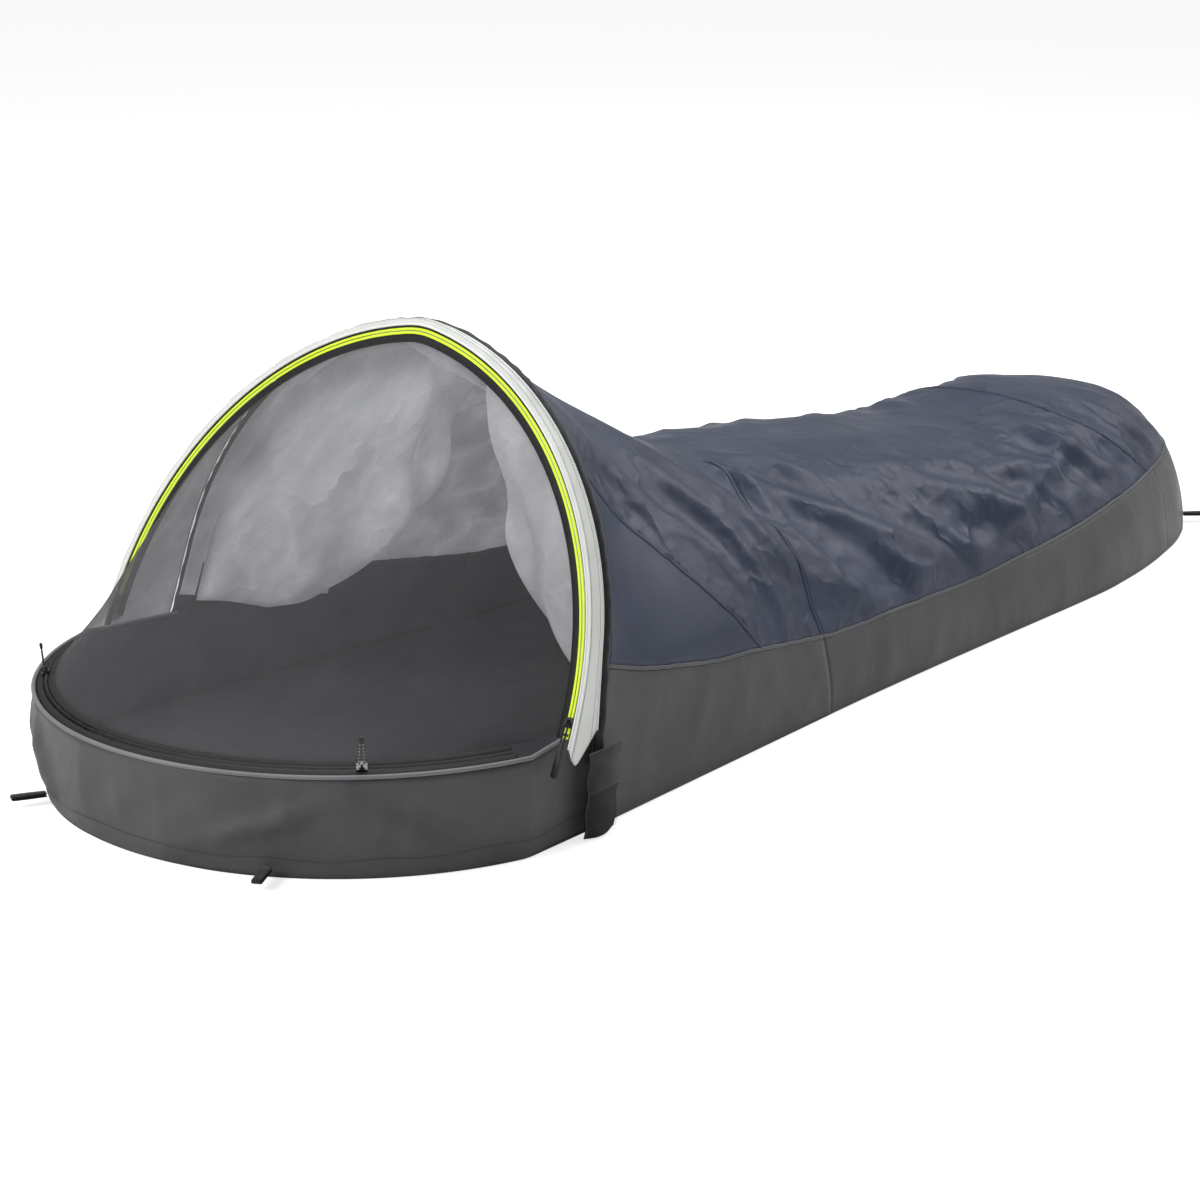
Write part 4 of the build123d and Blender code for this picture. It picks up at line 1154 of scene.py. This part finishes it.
def build_flap():
    grid, normal = flap_grid()
    flap = sheet("cloth_storm_flap", grid, 0.0011, (flap_white, lining))
    put(flap, "hoop", "storm_flap")
    for name, edge in (("front", grid[0]), ("rear", grid[-1])):
        put(merged(f"flap_piping_{name}", [tube(edge, 0.0015, ZIP_NORMAL)], piping_white), "hoop")
    for row in (2, 9):
        stitches = stitch_row(grid[row] + normal * 0.0004, normal)
        put(merged(f"flap_stitches_{row}", [stitches], thread_grey), "hoop")


def build_mesh_door():
    """Netting from the rim zip up to the hoop zip, gathered along both and sagging between them."""
    rows, columns = 44, 150
    rim = around_head(*(np.array(RIM_COIL) + RIM_RISE * (TAPE_EDGE - 0.001)), columns)
    top = zip_line(columns, -TAPE_EDGE + 0.0005)
    share = np.linspace(0, 1, rows)[:, None, None]
    grid = rim * (1 - share) + top * share
    normals = grid_normals(grid.reshape(-1, 3), grid_faces(rows, columns)).reshape(grid.shape)
    across, up = np.linspace(0, 1, columns), share[..., 0]
    middle = np.sin(up * math.pi)
    pull = 0.35 * np.sin(across * 71 + 3 * np.sin(across * 17)) + 0.65 * np.sin(across * 37 + 1.0 + up * 1.2)
    gathered = 0.0024 * np.exp(-(1 - up) / 0.22) + 0.0016 * np.exp(-up / 0.16)
    sag = -0.010 * middle * np.sin(across * math.pi)
    soft = 0.003 * middle * np.sin(across * 19 + up * 5)
    held = np.clip(middle, 0, 1) ** 0.3
    grid = grid + normals * ((pull * gathered + sag + soft) * held)[..., None]
    door = sheet("cloth_mesh_door", grid, 0.0004, (net, net))
    door.visible_shadow = False
    put(door, "hoop", "mesh_door")


# Outlines of the patches round the right pole's foot, seen from above, at their lower and upper edge
PATCH_LOW = np.array([(0.3720, -0.022), (0.3785, -0.008), (0.3780, 0.012), (0.3690, 0.036)])
PATCH_HIGH = np.array([(0.3700, -0.010), (0.3720, 0.008), (0.3700, 0.036), (0.3640, 0.052)])
PATCH_ROWS, PATCH_COLUMNS = 30, 34


def smooth_curve(points, count):
    """Soft curve through a few points, evenly resampled."""
    at = np.linspace(0, len(points) - 1, 60)
    soft = np.stack([eased(at, range(len(points)), points[:, k], 0.45) for k in range(2)], -1)
    soft[0], soft[-1] = points[0], points[-1]
    return resample(soft, count)


def build_patches():
    """Two-part patch round the outside of each pole foot."""
    bottom, top = smooth_curve(PATCH_LOW, PATCH_COLUMNS), smooth_curve(PATCH_HIGH, PATCH_COLUMNS)
    share = np.linspace(0, 1, PATCH_ROWS)[:, None]
    flat = bottom * (1 - share[..., None]) + top * share[..., None]
    height = np.broadcast_to(0.0015 + 0.098 * share, flat.shape[:2])
    fold = 0.0016 * np.sin(share * 16 + np.linspace(0, 5, PATCH_COLUMNS))
    for side, sign in SIDES:
        out = np.array([sign, 0, 0])
        grid = np.stack([sign * (flat[..., 0] + fold + 0.0008), flat[..., 1], height], -1)[:, ::sign]
        for name, part, material, node in (
            ("lower", grid[:17], black_tape, f"pole_pocket_{side}"),
            ("upper", grid[15:] + out * 0.0009, black_cloth, None),
        ):
            patch = sheet(f"pole_patch_{name}_{side}", part, 0.0014, (material, material), flip=True)
            put(patch, PATCH_CLOTH, node)
        edge = resample(np.concatenate([grid[:, 0], grid[-1], grid[::-1, -1]]), 160)
        stitches = stitch_row(edge + out * 0.0018, out)
        put(merged(f"pole_patch_stitches_{side}", [stitches], thread_grey), PATCH_CLOTH)


build_rim()
build_sleeve()
build_facing()
build_hoop_zip()
build_flap()
build_mesh_door()
build_patches()


# ---------------------------------------------------------------- pulls
HOOP_PULL_TURN = math.radians(2.5)  # where the hoop's sliders rest, round the zip's side arc
RIM_PULL_TURN = math.radians(-45)  # where the rim's sliders rest, round the head
RIM_PULL_RISE = math.radians(95)  # how far the rim's pulls are swung up
CORD_LENGTH = 0.027


def braided(path, radius, hint):
    """Cord with a braided surface: two strands twisted round each other."""
    fine = resample(path, max(60, len(path) * 4))
    across, up = frames_along(fine, hint)
    phase = np.linspace(0, length_of(fine) / 0.0032 * 2 * math.pi, len(fine))[:, None]
    strands = []
    for start in (0, math.pi):
        offset = across * np.cos(phase + start) + up * np.sin(phase + start)
        strands.append(tube(fine + offset * radius * 0.45, radius * 0.62, hint, sides=7))
    return strands


def grip(origin, side, down, front, start, length, widths, depth):
    """Tapered moulded grip with rounded edges and ribs across its lower half."""
    share = np.linspace(0, 1, 42)
    half = widths[0] + (widths[1] - widths[0]) * share
    cap = np.sqrt(np.clip(1 - (np.abs(share - 0.5) * 2) ** 14, 0, 1))
    ribs = 1 + 0.12 * np.clip(np.sin(share * 2 * math.pi * 7), 0, 1) * (share > 0.45) * (share < 0.9)
    turn = np.linspace(0, 2 * math.pi, 20, endpoint=False)
    circle = np.stack([np.cos(turn), np.sin(turn)], -1)
    outline = np.sign(circle) * np.abs(circle) ** 0.6
    profile = outline * np.stack([half * cap, depth * cap * ribs], -1)[:, None]
    path = origin + down * (start + length * share)[:, None]
    return swept(path, np.broadcast_to(side, path.shape), np.broadcast_to(front, path.shape), profile)


def loop_path(origin, side, down, half_width, neck, length):
    """Both strands of a cord loop, from one end at the neck, through the bail, to the other end."""
    left = [(-neck, length), (-half_width, length * 0.35), (-half_width, 0.0008), (-half_width * 0.75, 0.0)]
    flat = resample(np.array(left + [(-x, y) for x, y in reversed(left)]), 60)
    for _ in range(2):
        flat[1:-1] = (flat[:-2] + 2 * flat[1:-1] + flat[2:]) / 4
    return origin + flat[:, :1] * side + flat[:, 1:] * down


def hang_cord(where, side, loop, front):
    """Doubled cord through the bail of a slider."""
    pull = f"{where}_pull_{side}"
    put(merged(f"{where}_cord_{side}", braided(loop, 0.0010, front), cord), pull, pull)


def build_hoop_pull(side, sign):
    """Cord and moulded grip that hang from a slider on the hoop."""
    cos, sin = math.cos(HOOP_PULL_TURN), math.sin(HOOP_PULL_TURN)
    mirror = np.array([sign, 1, 1])
    up_zip = np.array([0, math.sin(ZIP_LEAN), math.cos(ZIP_LEAN)])
    out = (np.array([cos, 0, 0]) + up_zip * sin) * mirror
    coil_x, coil_up = ZIP_ARCH[0] * cos - ZIP_ARCH[1], ZIP_ARCH[0] * sin
    bail = (np.array([coil_x, 0, 0]) + up_zip * coil_up + ZIP_ORIGIN) * mirror + ZIP_NORMAL * BAIL_HEIGHT
    down = -unit(up_zip * cos - np.array([sign, 0, 0]) * sin)
    loop = loop_path(bail, out, down, half_width=0.0030, neck=0.0015, length=CORD_LENGTH)
    hang_cord("hoop", side, loop, ZIP_NORMAL)
    widths = 0.0031, 0.0050
    handle = grip(bail, out, down, ZIP_NORMAL, start=0.0235, length=0.0410, widths=widths, depth=0.0023)
    put(merged(f"hoop_grip_{side}", [handle], grip_black), f"hoop_pull_{side}")


def build_rim_pull(side, sign):
    """Flecked cord with a crimp, standing up from a slider on the rim."""
    cos, sin = math.cos(RIM_PULL_TURN), math.sin(RIM_PULL_TURN)
    ray, travel = np.array([cos * sign, sin, 0]), np.array([-sin * sign, cos, 0])
    bail = ray * RIM_COIL[0] + UP * RIM_COIL[1] + rim_up(ray) * BAIL_HEIGHT
    rise = UP * math.sin(RIM_PULL_RISE) - ray * math.cos(RIM_PULL_RISE)
    loop = loop_path(bail, travel, rise, half_width=0.0030, neck=0.0013, length=CORD_LENGTH)
    hang_cord("rim", side, loop, ray)
    dots = []
    for point in resample(loop, 16)[1:-1]:
        dots.append(tube(np.array([point - travel * 0.0004, point + travel * 0.0004]), 0.00125, ray))
    put(merged(f"rim_cord_flecks_{side}", dots, fleck), f"rim_pull_{side}")
    crimp = grip(bail, travel, rise, ray, start=0.0256, length=0.0068, widths=(0.0025, 0.0025), depth=0.0018)
    put(merged(f"rim_crimp_{side}", [crimp], grip_black), f"rim_pull_{side}")


# ---------------------------------------------------------------- stake loops
LOOP_LENGTH, LOOP_HALF_HEIGHT = 0.0415, 0.0020
LOOP_HEIGHT = 0.012  # above the ground
HEAD_LOOP_TURN, FOOT_LOOP_TURN = math.radians(-61), math.radians(44)
HEAD_LOOP_REACH = 0.381  # from the middle of the head's round
FOOT_LOOP_PLACE = np.array([0.180, 1.647, 0])


def stake_loop(name, anchor, out):
    """Flat webbing folded into a loop, its two ends sewn down at the wall."""
    body = f"stake_loop_{name}"
    side = np.cross(UP, out)
    turn = np.linspace(-math.pi / 2, math.pi / 2, 13)
    tip = np.stack([LOOP_LENGTH + LOOP_HALF_HEIGHT * (np.cos(turn) - 1), LOOP_HALF_HEIGHT * np.sin(turn)], -1)
    upper = np.array([(LOOP_LENGTH * 0.5, LOOP_HALF_HEIGHT), (0.0005, LOOP_HALF_HEIGHT * 0.8)])
    flat = resample(np.concatenate([upper[::-1] * [1, -1], tip, upper]), 60)
    path = anchor + flat[:, :1] * out + flat[:, 1:] * UP
    up = np.cross(unit(np.gradient(path, axis=0)), side)
    put(merged(f"loop_{name}", [ribbon(path, up, 0.0118, 0.0013)], webbing), body, body)
    tacks = []
    for reach in (0.005, 0.0065, 0.008):
        middle = anchor + out * reach + UP * (LOOP_HALF_HEIGHT + 0.0006)
        line = middle + np.linspace(-0.0045, 0.0045, 8)[:, None] * side
        tacks.append(stitch_row(line, UP, pitch=0.0014, length=0.0013, radius=0.0003))
    put(merged(f"loop_tack_{name}", tacks, thread_grey), body)


def build_stake_loops():
    head, foot = (np.array([math.cos(turn), math.sin(turn), 0]) for turn in (HEAD_LOOP_TURN, FOOT_LOOP_TURN))
    for where, ray, place in (("head", head, head * HEAD_LOOP_REACH), ("foot", foot, FOOT_LOOP_PLACE)):
        for side, sign in SIDES:
            mirror = np.array([sign, 1, 1])
            stake_loop(f"{where}_{side}", (place + UP * LOOP_HEIGHT) * mirror, ray * mirror)


# ---------------------------------------------------------------- hard parts
def paint_hardware():
    """Poles, tips, sliders and stops keep their CAD shape, with their own finishes."""
    finishes = {
        "pole_section": anodised,
        "pole_ferrules": anodised,
        "pole_tips": grip_black,
        "shock_cord": cord,
        "hoop_slider": enamel,
        "rim_slider": enamel,
        "zip_stops": enamel,
    }
    for node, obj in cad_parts.items():
        for start, material in finishes.items():
            if node.startswith(start):
                obj.data.materials.clear()
                obj.data.materials.append(material)


for side_name, side_sign in SIDES:
    build_hoop_pull(side_name, side_sign)
    build_rim_pull(side_name, side_sign)
build_stake_loops()
paint_hardware()


# ---------------------------------------------------------------- floor, light and camera
def build_stage():
    bpy.ops.mesh.primitive_plane_add(size=60, location=(0, 0, -0.0005))
    ground = bpy.context.object
    ground.name = "stage_floor"
    paper = Shader("pale_floor", 0.9, 0.1)
    paper.surface.inputs["Base Color"].default_value = (0.80, 0.80, 0.80, 1)
    paper.surface.inputs["Emission Color"].default_value = (1, 1, 1, 1)
    seen = paper.node("ShaderNodeLightPath").outputs["Is Camera Ray"]
    paper.join(paper.math("MULTIPLY_ADD", seen, 0.58, 0.08), paper.surface.inputs["Emission Strength"])
    ground.data.materials.append(paper.material)
    world = bpy.data.worlds.new("studio")
    bpy.context.scene.world = world
    world.use_nodes = True
    nodes, links = world.node_tree.nodes, world.node_tree.links
    path = nodes.new("ShaderNodeLightPath")
    strength = nodes.new("ShaderNodeMapRange")
    strength.inputs["To Min"].default_value = 0.34
    strength.inputs["To Max"].default_value = 1.0
    links.new(path.outputs["Is Camera Ray"], strength.inputs["Value"])
    nodes["Background"].inputs["Color"].default_value = (1, 1, 1, 1)
    links.new(strength.outputs["Result"], nodes["Background"].inputs["Strength"])


def soft_light(name, place, target, size, power):
    lamp = bpy.data.lights.new(name, "AREA")
    lamp.shape = "SQUARE"
    lamp.size = size
    lamp.energy = power
    obj = bpy.data.objects.new(name, lamp)
    obj.location = place
    obj.rotation_mode = "QUATERNION"
    obj.rotation_quaternion = (Vector(target) - Vector(place)).to_track_quat("-Z", "Y")
    bpy.context.scene.collection.objects.link(obj)


def build_camera():
    camera = bpy.data.cameras.new("camera")
    camera.lens = 92.66
    camera.sensor_width = 36
    camera.shift_x = -0.0009
    camera.shift_y = -0.0269
    obj = bpy.data.objects.new("camera", camera)
    place, target = Vector((2.4967, -2.5089, 1.2458)), Vector((0, 0.45, 0.15))
    obj.location = place
    obj.rotation_mode = "QUATERNION"
    obj.rotation_quaternion = (target - place).to_track_quat("-Z", "Y")
    bpy.context.scene.collection.objects.link(obj)
    bpy.context.scene.camera = obj


build_stage()
soft_light("key", (-0.9, -3.0, 2.2), (0, 0.2, 0.25), size=1.5, power=75)
soft_light("rear", (1.0, 3.8, 2.8), (0, 0.9, 0.2), size=2.0, power=60)
soft_light("overhead", (-0.6, 0.7, 2.9), (0, 0.6, 0.2), size=1.6, power=55)
build_camera()
bpy.context.scene.view_settings.view_transform = "Standard"
